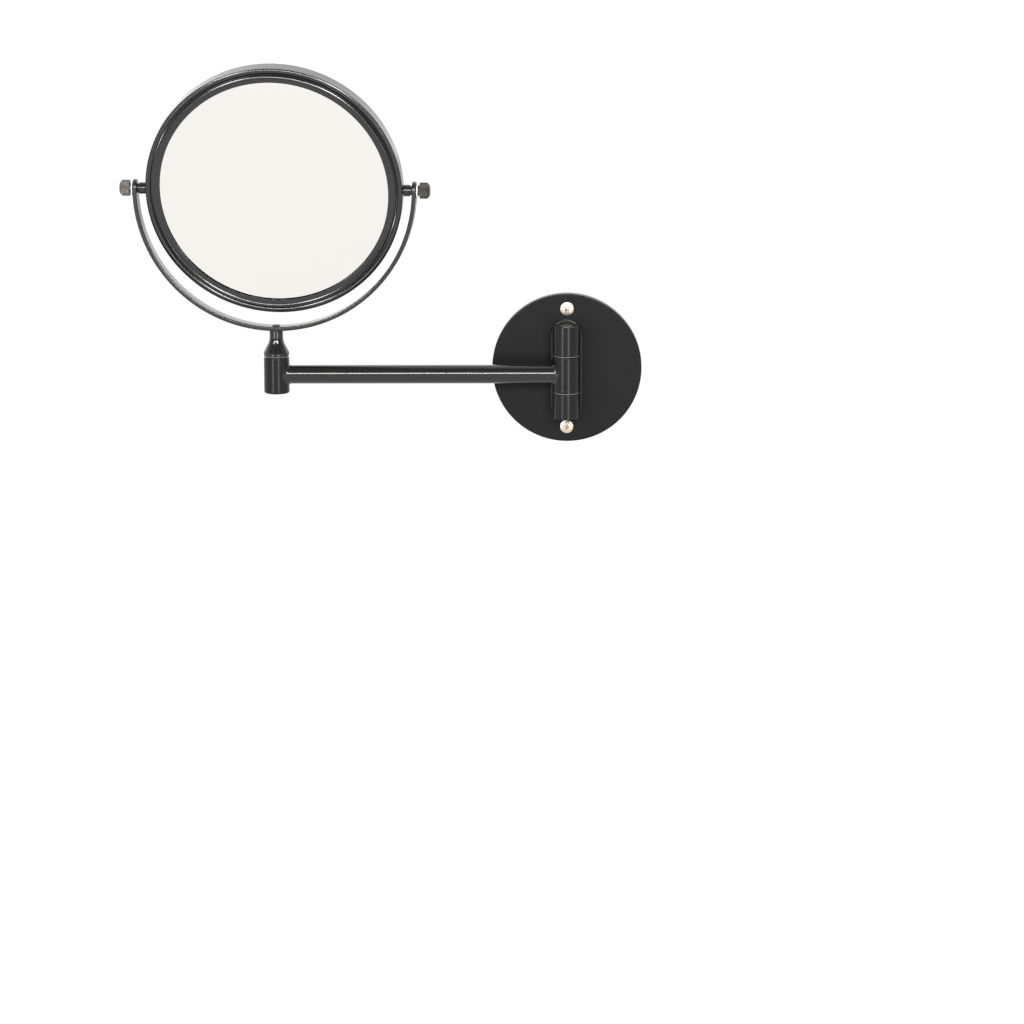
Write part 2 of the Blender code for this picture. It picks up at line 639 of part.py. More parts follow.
def bezel(side, sign, head, finish):
    """One of the two rings that hold the glass, with a crest and a lip over the glass's edge."""
    outer = BAND_INNER_RADIUS - GAP
    middle = sign * GAP / 2.0
    shoulder = (BEZEL_CREST + BEZEL_EDGE) / 2.0
    seat = GLASS_FRONT + GAP
    outline = [(outer, middle), (outer, sign * BEZEL_GROOVE)]
    outline += [(BEZEL_CREST_RADIUS + BEZEL_CREST_WIDTH, sign * shoulder)]
    outline += [(BEZEL_CREST_RADIUS, sign * BEZEL_CREST)]
    outline += [(BEZEL_CREST_RADIUS - BEZEL_CREST_WIDTH, sign * shoulder)]
    outline += [(GLASS_VIEW_RADIUS, sign * BEZEL_EDGE), (GLASS_VIEW_RADIUS, sign * seat)]
    outline += [(BEZEL_SEAT_RADIUS, sign * seat), (BEZEL_SEAT_RADIUS, middle)]
    turned(side + "_bezel", outline, head, finish, ROUND, "Y")


def front_mirror(head, finish):
    """The plain glass, its rim lightly ground."""
    front = -GLASS_FRONT
    outline = [(0.0, front), (GLASS_RADIUS - GROUND_EDGE, front), (GLASS_RADIUS, front + GROUND_EDGE)]
    outline += [(GLASS_RADIUS, front + GLASS_THICKNESS), (0.0, front + GLASS_THICKNESS)]
    turned("front_mirror", outline, head, finish, ROUND, "Y")


def rear_mirror(head, finish):
    """The magnifying glass: a disc bent to a shallow sphere, hollow side out."""
    sag = []
    for index in range(MAGNIFIER_STEPS + 1):
        radius = GLASS_RADIUS * index / MAGNIFIER_STEPS
        rise = (GLASS_RADIUS**2 - radius**2) / (2.0 * MAGNIFIER_CURVE_RADIUS)
        sag.append((radius, GLASS_FRONT - rise))
    inside = [(radius, height - GLASS_THICKNESS) for radius, height in reversed(sag)]
    turned("rear_mirror", sag + inside, head, finish, ROUND, "Y")


def glass_packing(head, plastic, foam):
    """The plastic ring that keeps the glasses apart, and the pad behind the plain one."""
    low = -GLASS_FRONT + GLASS_THICKNESS + GAP
    high = GLASS_FRONT - GLASS_THICKNESS - 2.0 * GAP
    turned("glass_spacer", tube(SPACER_INNER_RADIUS, GLASS_RADIUS, low, high), head, plastic, ROUND, "Y")
    turned("backing_pad", rod(PAD_RADIUS, low, low + PAD_THICKNESS), head, foam, ROUND, "Y")


# ---------------------------------------------------------------- pivots and knobs


def pivot_boss(side, outward, finish):
    """The threaded boss riveted to the frame band. The stud's hole is open at its outer end."""
    face = YOKE_RADIUS - YOKE_THICKNESS - GAP
    shoulder = FRAME_RADIUS + GAP
    outline = stepped(
        (BOSS_RIVET_RADIUS, BAND_INNER_RADIUS + GAP, shoulder),
        (BOSS_RADIUS, shoulder, face),
    )
    boss = turned("pivot_boss_" + side, outline, outward, finish, FASTENER_ROUND, "X")
    hole = rod(STUD_RADIUS + GAP, face - STUD_DEPTH - GAP, face + GAP)
    cut(boss, side + "_stud_hole", turned_shape(hole, FASTENER_ROUND, "X"))


def knob_start():
    """Where the knob's neck begins, beyond the yoke's tab and the nylon ring."""
    return YOKE_RADIUS + GAP + NYLON_THICKNESS + GAP


def pivot_washer(side, outward, finish):
    """The nylon ring between the yoke's tab and the knob."""
    low = YOKE_RADIUS + GAP
    sleeve = tube(STUD_RADIUS + GAP, NYLON_RADIUS, low, low + NYLON_THICKNESS)
    turned("pivot_washer_" + side, sleeve, outward, finish, FASTENER_ROUND, "X")


def pivot_stud(side, outward, finish):
    """The threaded stud that the knob turns, from inside the boss to inside the knob."""
    low = YOKE_RADIUS - YOKE_THICKNESS - GAP - STUD_DEPTH
    high = knob_start() + KNOB_NECK + KNOB_STUD_DEPTH
    turned("pivot_stud_" + side, rod(STUD_RADIUS, low, high), outward, finish, FASTENER_ROUND, "X")


def fluted_ring(shape, radius, height, flute):
    """One ring of the knob's body, with a groove for each flute."""
    count = 3 * KNOB_FLUTES
    ring = []
    for index in range(count):
        angle = math.tau * index / count
        local = radius - (flute if index % 3 == 0 else 0.0)
        ring.append(shape.verts.new((local * math.cos(angle), local * math.sin(angle), height)))
    return ring


def knob(side, outward, finish):
    """A fluted knob with a plain neck, a domed end and a blind hole for its stud."""
    start = knob_start()
    base = start + KNOB_NECK
    tip = base + KNOB_LENGTH
    shape = bmesh.new()
    rings = [fluted_ring(shape, KNOB_RADIUS - KNOB_EDGE, base, 0.0)]
    rings.append(fluted_ring(shape, KNOB_RADIUS, base + KNOB_EDGE, KNOB_FLUTE_DEPTH))
    rings.append(fluted_ring(shape, KNOB_RADIUS, tip - KNOB_DOME - KNOB_CHAMFER, KNOB_FLUTE_DEPTH))
    rings.append(fluted_ring(shape, KNOB_RADIUS - KNOB_CHAMFER, tip - KNOB_DOME, 0.0))
    rings.append(fluted_ring(shape, KNOB_RADIUS / 3.0, tip, 0.0))
    for first, second in zip(rings, rings[1:]):
        join_rings(shape, first, second)
    shape.faces.new(rings[0])
    shape.faces.new(rings[-1])
    shape.transform(TURN["X"])
    body = place("knob_" + side, shape, outward, finish)
    neck = rod(KNOB_NECK_RADIUS, start, base + 2.0 * KNOB_EDGE)
    add(body, side + "_knob_neck", turned_shape(neck, FASTENER_ROUND, "X"))
    hole = rod(STUD_RADIUS + GAP, start - GAP, base + KNOB_STUD_DEPTH + GAP)
    cut(body, side + "_knob_hole", turned_shape(hole, FASTENER_ROUND, "X"))


# ---------------------------------------------------------------- assembly


def build_wall_mount(wall, finishes):
    """Everything that stays on the wall."""
    black = finishes["black_powder_coat"]
    steel = finishes["zinc_steel"]
    hinge = pivot("hinge_axis", wall, Vector((0.0, -HINGE_STANDOFF, HINGE_LEVEL)))
    wall_plate(wall, black)
    wall_bracket(wall, black)
    hinge_pin(hinge, steel)
    hinge_lower_fixings(hinge, steel)
    for side, sign in (("upper", 1.0), ("lower", -1.0)):
        wall_screw(side, sign * WALL_SCREW_OFFSET, wall, finishes["nickel_screw"])
        bracket_screw(side, sign * BRACKET_SCREW_OFFSET, wall, steel)
        hinge_cap(side, sign, hinge, black)
        hinge_washer(side, sign, hinge, finishes["grey_nylon"])


def build_arm(wall, finishes):
    """Everything that swings on the hinge pin. Returns the arm's empty."""
    black = finishes["black_powder_coat"]
    arm = pivot("arm_axis", wall, Vector((0.0, -HINGE_STANDOFF, HINGE_LEVEL)), "Z", ARM_SWING)
    arm_knuckle(arm, black)
    arm_tube(arm, black)
    head_barrel(arm, black)
    barrel_cap(arm, black)
    for side, sign in (("upper", 1.0), ("lower", -1.0)):
        arm_bush(side, sign, arm, finishes["white_nylon"])
    return arm


def build_swivel(arm, finishes):
    """Everything that swivels on the barrel. Returns the empty at the tilt axis's level."""
    black = finishes["black_powder_coat"]
    swivel = pivot("swivel_axis", arm, Vector((-ARM_LENGTH, 0.0, 0.0)), "Z", HEAD_YAW - ARM_SWING)
    swivel_neck(swivel, black)
    swivel_fixings(swivel, finishes["grey_nylon"], finishes["zinc_steel"])
    pivot_level = pivot("pivot_level", swivel, Vector((0.0, 0.0, PIVOT_HEIGHT)))
    yoke(pivot_level, black)
    yoke_screw(pivot_level, finishes["black_screw"])
    return pivot_level


def build_head(pivot_level, finishes):
    """Everything that tilts between the yoke's tabs, and the knobs that clamp it."""
    black = finishes["black_powder_coat"]
    head = pivot("tilt_axis", pivot_level, Vector((0.0, 0.0, 0.0)), "X", HEAD_TILT)
    frame_band(head, black)
    bezel("front", -1.0, head, black)
    bezel("rear", 1.0, head, black)
    front_mirror(head, finishes["plain_mirror"])
    rear_mirror(head, finishes["plain_mirror"])
    glass_packing(head, finishes["spacer_plastic"], finishes["foam"])
    for side, turn in (("left", 180.0), ("right", 0.0)):
        outward = pivot("outward_" + side, head, Vector((0.0, 0.0, 0.0)), "Z", turn)
        pivot_boss(side, outward, black)
        pivot_washer(side, outward, finishes["white_nylon"])
        pivot_stud(side, outward, finishes["zinc_steel"])
        knob(side, outward, finishes["knob_black"])


def main():
    for old in list(bpy.data.objects):
        bpy.data.objects.remove(old)
    finishes = make_materials()
    wall = pivot("wall_face", None, Vector((0.0, 0.0, 0.0)))
    build_wall_mount(wall, finishes)
    arm = build_arm(wall, finishes)
    pivot_level = build_swivel(arm, finishes)
    build_head(pivot_level, finishes)


main()
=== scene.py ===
"""The looks of a wall-mounted shaving mirror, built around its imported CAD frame.

Every visible piece is modelled again with its real edges, grooves and curves, in the place that
its CAD node holds, and rides on the same body. The pieces that are out of sight keep their CAD
shape. Lengths are in metres and angles in degrees.
"""

import json
import math

import bmesh
import bpy
from mathutils import Matrix, Vector


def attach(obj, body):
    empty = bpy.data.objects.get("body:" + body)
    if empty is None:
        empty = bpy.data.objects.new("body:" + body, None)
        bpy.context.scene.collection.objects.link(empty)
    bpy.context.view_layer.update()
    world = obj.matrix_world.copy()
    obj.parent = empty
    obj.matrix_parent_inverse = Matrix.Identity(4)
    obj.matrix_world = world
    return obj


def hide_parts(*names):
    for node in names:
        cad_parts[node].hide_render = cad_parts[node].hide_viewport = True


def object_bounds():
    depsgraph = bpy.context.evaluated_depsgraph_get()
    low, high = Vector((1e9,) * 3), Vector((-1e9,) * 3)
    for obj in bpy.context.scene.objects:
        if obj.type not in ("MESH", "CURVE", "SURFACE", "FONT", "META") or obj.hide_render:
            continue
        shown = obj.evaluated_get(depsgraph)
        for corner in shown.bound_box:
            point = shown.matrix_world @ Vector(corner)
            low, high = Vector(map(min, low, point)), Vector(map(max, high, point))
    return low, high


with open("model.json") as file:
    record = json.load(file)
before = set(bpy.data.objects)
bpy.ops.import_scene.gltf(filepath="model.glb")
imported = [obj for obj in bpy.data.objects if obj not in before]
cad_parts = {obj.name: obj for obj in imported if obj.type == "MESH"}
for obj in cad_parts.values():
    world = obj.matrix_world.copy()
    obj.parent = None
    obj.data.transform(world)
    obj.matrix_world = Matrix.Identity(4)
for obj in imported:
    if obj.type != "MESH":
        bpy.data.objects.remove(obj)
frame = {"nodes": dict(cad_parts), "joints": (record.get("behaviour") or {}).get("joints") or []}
CAD_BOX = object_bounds()

# Fineness
ROUND = 160
SMALL_ROUND = 96
TINY_ROUND = 48
FILLET_STEPS = 5
SHOULDER_STEPS = 5
RIDGE_STEPS = 5
FLANK_STEPS = 6
CROWN_STEPS = 7
WEB_STEPS = 8
BEAD_STEPS = 12
WAIST_STEPS = 12
SLOT_STEPS = 24
SHARP_ANGLE = 35.0

# Fits
GAP = 0.0003
CLEAR = 0.0010
OVERRUN = 0.0020
SUNK = 0.00005

# Edges that several pieces share
RING_EDGE = 0.0001
TIGHT_EDGE = 0.0002
FINE_EDGE = 0.0003
SOFT_EDGE = 0.0004

# Wall plate
PLATE_EDGE = 0.0008
RELIEF_INNER = 0.0155
RELIEF_OUTER = 0.0330
RELIEF_DEPTH = 0.0033
BRACKET_HOLE_RADIUS = 0.0028
BRACKET_SCREW_RADIUS = 0.0025
SOCKET_RADIUS = 0.00145
SOCKET_DEPTH = 0.0015
HEX_SIDES = 6
SCREW_HOLE_RADIUS = 0.0027
SCREW_SHANK_RADIUS = 0.0024
COUNTERSINK_DEPTH = 0.0025
SCREW_CROWN = 0.0008
SCREW_CROWN_SHARE = 0.97
WALL_SCREW_TURN = {"upper": 38.0, "lower": 12.0}

# Cross recesses: length, width and depth, then (share of the depth, share of the wings)
WALL_RECESS = (0.0038, 0.0009, 0.0016)
YOKE_SCREW_RECESS = (0.0026, 0.0006, 0.0005)
RECESS_TAPER = ((-0.5, 1.0), (0.0, 1.0), (1.0, 0.55))

# Hinge, knuckles and barrel
LUG_FRONT = 0.0135
LUG_EDGE = 0.0012
CAST_FILLET = 0.0020
BARREL_EDGE = 0.0012
PIN_BORE = 0.0043
POCKET_RADIUS = 0.0065
UPPER_POCKET = 0.0065
LOWER_POCKET = 0.0090
BUSH_BORE = 0.0061
BARREL_POCKET = 0.0086
BARREL_POCKET_RADIUS = 0.0060
SPINDLE_BORE = 0.0033
TUBE_WALL = 0.0014
SPIGOT_RADIUS = 0.00455
BRAZE_FILLET = 0.0012

# Neck
SPINDLE_RADIUS = 0.0030
THREAD_RADIUS = 0.0025
THREAD_TOP = -0.0038
NECK_SHOULDER = 0.0146
NECK_SHOULDER_EDGE = 0.0005
NECK_STEP = 0.0004
NECK_RADIUS = 0.0045
NECK_HOLE_FLOOR = 0.0234
FLARE_START = 0.0255
FLARE_RADIUS = 0.0110
FLARE_ANGLE = 27.0

# Yoke
YOKE_STEPS = 140
TAB_STEPS = 16
TIP_FLAT = 4.0
YOKE_EDGE = 0.0008
TAB_HOLE_RADIUS = 0.0024
YOKE_SCREW_HOLE_RADIUS = 0.0018
YOKE_SCREW_RADIUS = 0.0015
YOKE_SCREW_HEAD = 0.0007
YOKE_SCREW_CROWN = 0.0004

# Mirror head
BAND_INNER_RADIUS = 0.0817
BEAD_TOP = 0.0062
BEAD_CROWN = 0.0024
BEAD_SHOULDER = 0.0007
BEAD_SPREAD = 38.0
BEZEL_GROOVE = 0.0055
GROOVE_WIDTH = 0.0004
CREST_RADIUS = 0.0796
CREST_RIDGE = 0.0006
CREST_FLANK = 0.0028
CREST_TURN = 20.0
CREST_STEEPEST = 42.0
CREST_HEIGHT = 0.0072
GLASS_VIEW_RADIUS = 0.0758
LIP_EDGE = 0.0064
LIP_SLOPE = (0.0003, 0.0001)
GLASS_SEAT_RADIUS = 0.0792
GLASS_SEAT = 0.0061
BEZEL_MIDDLE = 0.00015
RIVET_HOLE_RADIUS = 0.0028
GLASS_THICKNESS = 0.0020
GLASS_SETBACK = 0.0009
MAGNIFIER_RINGS = 24
MAGNIFIER_CURVE_RADIUS = 1.0

# Pivots and knobs
RIVET_RADIUS = 0.0025
STUD_HOLE_RADIUS = 0.0023
STUD_HOLE_DEPTH = 0.0053
BOSS_COLLAR = 0.0010
BOSS_COLLAR_RADIUS = 0.0032
KNOB_NECK = 0.0010
KNOB_NECK_RADIUS = 0.0035
KNOB_HOLE_DEPTH = 0.0041
KNOB_EDGE = 0.0004
KNOB_CHAMFER = 0.0016
KNOB_DOME = 0.0005
DOME_SHARES = (0.75, 0.50, 0.25)
KNOB_FLUTES = 20
FLUTE_DEPTH = 0.00042
FLUTE_POWER = 3
FLUTE_POINTS = 8
CHAMFER_STEPS = 4

# Noise in the finishes: scale per metre, detail and roughness
COAT_TONE = (70.0, 4.0, 0.60)
COAT_GLOSS = (420.0, 5.0, 0.65)
COAT_DUST = (5200.0, 1.0, 0.50)
PLATING_TONE = (260.0, 5.0, 0.60)
PLATING_MARKS = (2600.0, 4.0, 0.70)
PLASTIC_TONE = (300.0, 3.0, 0.50)
PLASTIC_GRAIN = (3200.0, 3.0, 0.50)
KNOB_RUB = (900.0, 5.0, 0.65)
KNOB_GRAIN = (3600.0, 3.0, 0.50)
MIRROR_FILM = (25.0, 4.0, 0.60)
FLOOR_TONE = (3.0, 2.0, 0.50)
FINE_PEEL = 900.0
COARSE_PEEL = 1400.0
PEEL_DETAIL = (3.0, 0.55)

# Tones and depths in the finishes
NOISE_BODY = (0.30, 0.70)
COAT_LIGHTER = 1.35
DUST_SPECKS = (0.76, 0.82)
DUST_COLOR = (0.022, 0.021, 0.020)
PLATING_DARKER = 0.82
PLATING_WORN = (-0.08, 0.10)
PLASTIC_DARKER = 0.90
PLASTIC_UNEVEN = 0.05
RUBBED_PATCHES = (0.38, 0.62)
RUBBED_GLOSS = (0.42, 0.34)
FINE_GRAIN = 0.00001
FOAM_GRAIN = 0.0001
MIRROR_TINTS = ((0.787, 0.780, 0.745), (0.799, 0.791, 0.756))
MIRROR_GLOSS = (0.012, 0.022)

# Camera and light
CAMERA_PLACE = (0.04444, -2.81150, 0.49407)
CAMERA_PITCH = 11.933
CAMERA_YAW = 1.658
CAMERA_LENS = 149.44
CAMERA_SENSOR = 36.0
CAMERA_REACH = 100.0
LIGHT_DISTANCE = 2.60
SIDE_AZIMUTH = {"left": -31.0, "right": 21.0}
SOFTBOX_SIZE = (0.60, 0.80)
SOFTBOX_ELEVATION = 22.0
SOFTBOX_RADIANCE = 30.0
BOARD_SIZE = (0.42, 0.56)
BOARD_ELEVATION = -12.0
BOARD_RADIANCE = 12.0
BANK_SIZE = (1.70, 0.30)
BANK_AZIMUTH = 2.0
BANK_ELEVATION = 17.0
BANK_RADIANCE = 30.0
WORLD_DEPTHS = (-0.4, 0.7)
WORLD_FRONT = 0.25
WORLD_BACK = 1.9

# Floor
FLOOR_SIZE = 30.0
FLOOR_CELLS = 8
FLOOR_DROP = 0.45
FLOOR_TINTS = ((0.055, 0.055, 0.054), (0.065, 0.065, 0.064))
FLOOR_ROUGHNESS = 0.9
FLOOR_SHINE = 0.1
FLOOR_GLOW = 0.96


# ---------------------------------------------------------------- local frames


def joint(name):
    """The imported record's joint of that name."""
    return next(found for found in frame["joints"] if found["name"] == name)


def local_frame(origin, x_axis, y_axis=None):
    """A matrix with the given origin and X axis. Without a Y axis, Z stays upright."""
    x_axis = x_axis.normalized()
    z_axis = x_axis.cross(y_axis).normalized() if y_axis else Vector((0.0, 0.0, 1.0))
    y_axis = z_axis.cross(x_axis)
    rotation = Matrix((x_axis, y_axis, z_axis)).transposed().to_4x4()
    return Matrix.Translation(origin) @ rotation


def facing_front(node):
    """The normal of the node's largest face that looks away from the wall."""
    faces = [face for face in frame["nodes"][node].data.polygons if face.normal.y < 0.0]
    return max(faces, key=lambda face: face.area).normal.copy()


HINGE_AXIS = Vector(joint("arm_swing")["pos_m"])
SWIVEL_AXIS = Vector(joint("head_swivel")["pos_m"])
TILT_CENTRE = Vector(joint("mirror_tilt")["pos_m"])
TILT_AXIS = Vector(joint("mirror_tilt")["axis"])
ARM_LENGTH = (HINGE_AXIS - SWIVEL_AXIS).length

WALL = Matrix.Identity(4)
HINGE = Matrix.Translation(HINGE_AXIS)
ARM = local_frame(HINGE_AXIS, HINGE_AXIS - SWIVEL_AXIS)
BARREL = local_frame(SWIVEL_AXIS, HINGE_AXIS - SWIVEL_AXIS)
SWIVEL = local_frame(SWIVEL_AXIS, TILT_AXIS)
YOKE = local_frame(TILT_CENTRE, TILT_AXIS)
HEAD = local_frame(TILT_CENTRE, TILT_AXIS, -facing_front("front_mirror"))
OUTWARD = {"right": HEAD, "left": HEAD @ Matrix.Rotation(math.pi, 4, "Z")}


def span(node, place):
    """Lowest and highest corner of a CAD node in a local frame."""
    inverse = place.inverted()
    points = [inverse @ vertex.co for vertex in frame["nodes"][node].data.vertices]
    low = Vector([min(point[axis] for point in points) for axis in range(3)])
    high = Vector([max(point[axis] for point in points) for axis in range(3)])
    return low, high


def level_of(node):
    """Height of the middle of a CAD node."""
    low, high = span(node, WALL)
    return (low.z + high.z) / 2.0


def off_axis(point, along):
    """Distance of a point from one of its frame's axes."""
    return math.sqrt(sum(point[axis] ** 2 for axis in range(3) if axis != along))


# ---------------------------------------------------------------- mesh helpers

TURN = {
    "Z": Matrix.Identity(4),
    "Y": Matrix.Rotation(math.radians(-90.0), 4, "X"),
    "X": Matrix.Rotation(math.radians(90.0), 4, "Y"),
}


def rounded(outline):
    """A closed outline whose corners (radius, height, fillet) are turned into arcs."""
    points = []
    for index, (radius, height, fillet) in enumerate(outline):
        corner = Vector((radius, height))
        if fillet == 0.0:
            points.append(corner)
            continue
        before = (Vector(outline[index - 1][:2]) - corner).normalized()
        after = (Vector(outline[(index + 1) % len(outline)][:2]) - corner).normalized()
        half = before.angle(after) / 2.0
        centre = corner + (before + after).normalized() * fillet / math.sin(half)
        start = (corner + before * fillet / math.tan(half) - centre).normalized()
        end = (corner + after * fillet / math.tan(half) - centre).normalized()
        for step in range(FILLET_STEPS + 1):
            points.append(centre + fillet * start.slerp(end, step / FILLET_STEPS))
    return [(max(point.x, 0.0), point.y) for point in points]


def arc(centre, radius, start, end, steps):
    """Points (radius, height) along an arc of a profile."""
    points = []
    for index in range(steps + 1):
        angle = math.radians(start + (end - start) * index / steps)
        out = centre[0] + radius * math.cos(angle)
        points.append((out, centre[1] + radius * math.sin(angle)))
    return points


def join_rings(shape, lower, upper):
    """Faces between two rings with the same count of vertices."""
    for index in range(len(lower)):
        following = (index + 1) % len(lower)
        shape.faces.new((lower[index], lower[following], upper[following], upper[index]))


def turned(profile, count=SMALL_ROUND, axis="Z"):
    """A turned solid from an outline of (radius, height) points.

    An outline that starts and ends on the axis is closed by a flat face at each end, and any
    other outline is a closed loop.
    """
    shape = bmesh.new()
    angles = [math.tau * (index + 0.5) / count for index in range(count)]
    rings = []
    for radius, height in profile:
        if radius > 0.0:
            flat = [(radius * math.cos(angle), radius * math.sin(angle)) for angle in angles]
            rings.append([shape.verts.new((x, y, height)) for x, y in flat])
    for lower, upper in zip(rings, rings[1:]):
        join_rings(shape, lower, upper)
    if profile[0][0] == 0.0:
        shape.faces.new(rings[0])
        shape.faces.new(rings[-1])
    else:
        join_rings(shape, rings[-1], rings[0])
    shape.transform(TURN[axis])
    return shape


def rod(radius, low, high, fillet=0.0):
    """Outline of a cylinder whose rims may be rounded."""
    rims = [(radius, low, fillet), (radius, high, fillet)]
    return rounded([(0.0, low, 0.0)] + rims + [(0.0, high, 0.0)])


def sleeve(inner, outer, low, high, fillet):
    """Outline of a ring or bush whose rims are rounded."""
    corners = ((inner, low), (outer, low), (outer, high), (inner, high))
    return rounded([(radius, height, fillet) for radius, height in corners])


def loft(loops):
    """A closed solid through loops of points that all have the same count."""
    shape = bmesh.new()
    rings = [[shape.verts.new(point) for point in loop] for loop in loops]
    for first, second in zip(rings, rings[1:]):
        join_rings(shape, first, second)
    shape.faces.new(rings[0])
    shape.faces.new(rings[-1])
    return shape


def mesh_object(name, shape, place):
    """An object of that shape in a local frame, its faces pointing out."""
    bmesh.ops.recalc_face_normals(shape, faces=shape.faces)
    mesh = bpy.data.meshes.new(name)
    shape.to_mesh(mesh)
    shape.free()
    made = bpy.data.objects.new(name, mesh)
    bpy.context.scene.collection.objects.link(made)
    made.matrix_world = place
    return made


def combine(target, operation, shape, shift=(0.0, 0.0, 0.0)):
    """Joins or cuts a shape in the target's own frame, and keeps the result as its mesh."""
    tool = mesh_object("tool", shape, target.matrix_world @ Matrix.Translation(shift))
    modifier = target.modifiers.new("combine", "BOOLEAN")
    modifier.operation = operation
    modifier.object = tool
    bpy.context.view_layer.update()
    evaluated = target.evaluated_get(bpy.context.evaluated_depsgraph_get())
    result = bpy.data.meshes.new_from_object(evaluated)
    target.modifiers.clear()
    target.data = result
    bpy.data.objects.remove(tool)


def cut(target, shape, shift=(0.0, 0.0, 0.0)):
    """Takes the shape away from the target."""
    combine(target, "DIFFERENCE", shape, shift)


def add(target, shape, shift=(0.0, 0.0, 0.0)):
    """Joins the shape to the target."""
    combine(target, "UNION", shape, shift)


def finished(piece, body, node, material):
    """Shades a piece smooth and puts it in place of its CAD node, its place taken into its mesh."""
    piece.data.transform(piece.matrix_world)
    piece.matrix_world = Matrix.Identity(4)
    piece.data.materials.clear()
    piece.data.materials.append(material)
    piece.data.shade_smooth()
    piece.data.set_sharp_from_angle(angle=math.radians(SHARP_ANGLE))
    weighted = piece.modifiers.new("weighted_normals", "WEIGHTED_NORMAL")
    weighted.keep_sharp = True
    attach(piece, body)
    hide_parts(node)


# ---------------------------------------------------------------- materials


class Nodes:
    """A short way to write a material's node tree."""

    def __init__(self, name):
        self.material = bpy.data.materials.new(name)
        self.material.use_nodes = True
        self.tree = self.material.node_tree
        self.shader = self.tree.nodes["Principled BSDF"]

    def make(self, kind, **settings):
        """A node with its settings. A socket is set by its name with spaces as underscores."""
        node = self.tree.nodes.new("ShaderNode" + kind)
        for key, value in settings.items():
            if hasattr(node, key):
                setattr(node, key, value)
            else:
                node.inputs[key.replace("_", " ")].default_value = value
        return node

    def link(self, source, target):
        """Joins an output socket to an input socket."""
        self.tree.links.new(source, target)

    def noise(self, scale, detail, roughness):
        """A noise value from 0 to 1, fixed to the piece."""
        texture = self.make("TexNoise", Scale=scale, Detail=detail, Roughness=roughness)
        self.link(self.make("TexCoord").outputs["Object"], texture.inputs["Vector"])
        return texture.outputs["Fac"]

    def ramp(self, value, limits, results):
        """Maps a value between two limits to a value between two results."""
        node = self.make("MapRange", From_Min=limits[0], From_Max=limits[1])
        node.inputs["To Min"].default_value = results[0]
        node.inputs["To Max"].default_value = results[1]
        self.link(value, node.inputs["Value"])
        return node.outputs["Result"]

    def colors(self, value, first, second):
        """Mixes two colours by a value. The first may be another node's output."""
        node = self.make("Mix", data_type="RGBA")
        sockets = [socket for socket in node.inputs if socket.type == "RGBA"]
        if isinstance(first, tuple):
            sockets[0].default_value = (*first, 1.0)
        else:
            self.link(first, sockets[0])
        sockets[1].default_value = (*second, 1.0)
        self.link(value, node.inputs["Factor"])
        return next(socket for socket in node.outputs if socket.type == "RGBA")

    def bump(self, height, distance):
        """Raises the surface by a height value, at most by the distance."""
        node = self.make("Bump", Distance=distance, Strength=1.0)
        self.link(height, node.inputs["Height"])
        self.link(node.outputs["Normal"], self.shader.inputs["Normal"])


def scaled(color, factor):
    """A colour made lighter or darker."""
    return tuple(factor * channel for channel in color)


def around(middle, spread):
    """The two limits at one distance from a middle value."""
    return middle - spread, middle + spread


def black_coat(name, color, roughness, shine, peel, peel_scale, blotch):
    """Satin black coating: fine orange peel, uneven gloss and a little dust."""
    nodes = Nodes(name)
    tone = nodes.colors(nodes.noise(*COAT_TONE), color, scaled(color, COAT_LIGHTER))
    dust = nodes.ramp(nodes.noise(*COAT_DUST), DUST_SPECKS, (0.0, 1.0))
    nodes.link(nodes.colors(dust, tone, DUST_COLOR), nodes.shader.inputs["Base Color"])
    gloss = nodes.ramp(nodes.noise(*COAT_GLOSS), NOISE_BODY, around(roughness, blotch))
    nodes.link(gloss, nodes.shader.inputs["Roughness"])
    nodes.shader.inputs["Specular IOR Level"].default_value = shine
    nodes.bump(nodes.noise(peel_scale, *PEEL_DETAIL), peel)
    return nodes.material


def plated(name, color, roughness):
    """Plated steel with fine tool marks and slightly uneven colour."""
    nodes = Nodes(name)
    nodes.shader.inputs["Metallic"].default_value = 1.0
    tone = nodes.colors(nodes.noise(*PLATING_TONE), scaled(color, PLATING_DARKER), color)
    nodes.link(tone, nodes.shader.inputs["Base Color"])
    marks = nodes.noise(*PLATING_MARKS)
    smooth, rough = PLATING_WORN
    worn = nodes.ramp(marks, NOISE_BODY, (roughness + smooth, roughness + rough))
    nodes.link(worn, nodes.shader.inputs["Roughness"])
    nodes.bump(marks, FINE_GRAIN)
    return nodes.material


def moulded(name, color, roughness, grain=FINE_GRAIN):
    """Moulded plastic or foam with a fine grain."""
    nodes = Nodes(name)
    tone = nodes.colors(nodes.noise(*PLASTIC_TONE), scaled(color, PLASTIC_DARKER), color)
    nodes.link(tone, nodes.shader.inputs["Base Color"])
    fine = nodes.noise(*PLASTIC_GRAIN)
    uneven = nodes.ramp(fine, NOISE_BODY, around(roughness, PLASTIC_UNEVEN))
    nodes.link(uneven, nodes.shader.inputs["Roughness"])
    nodes.bump(fine, grain)
    return nodes.material


def knob_coat(name, color, worn):
    """Thin black finish, rubbed through to brownish grey in patches; the colours given per knob
    also hold painted light.
    """
    nodes = Nodes(name)
    rub = nodes.ramp(nodes.noise(*KNOB_RUB), RUBBED_PATCHES, (0.0, 1.0))
    nodes.link(nodes.colors(rub, color, worn), nodes.shader.inputs["Base Color"])
    nodes.link(nodes.ramp(rub, (0.0, 1.0), RUBBED_GLOSS), nodes.shader.inputs["Roughness"])
    nodes.bump(nodes.noise(*KNOB_GRAIN), FINE_GRAIN)
    return nodes.material


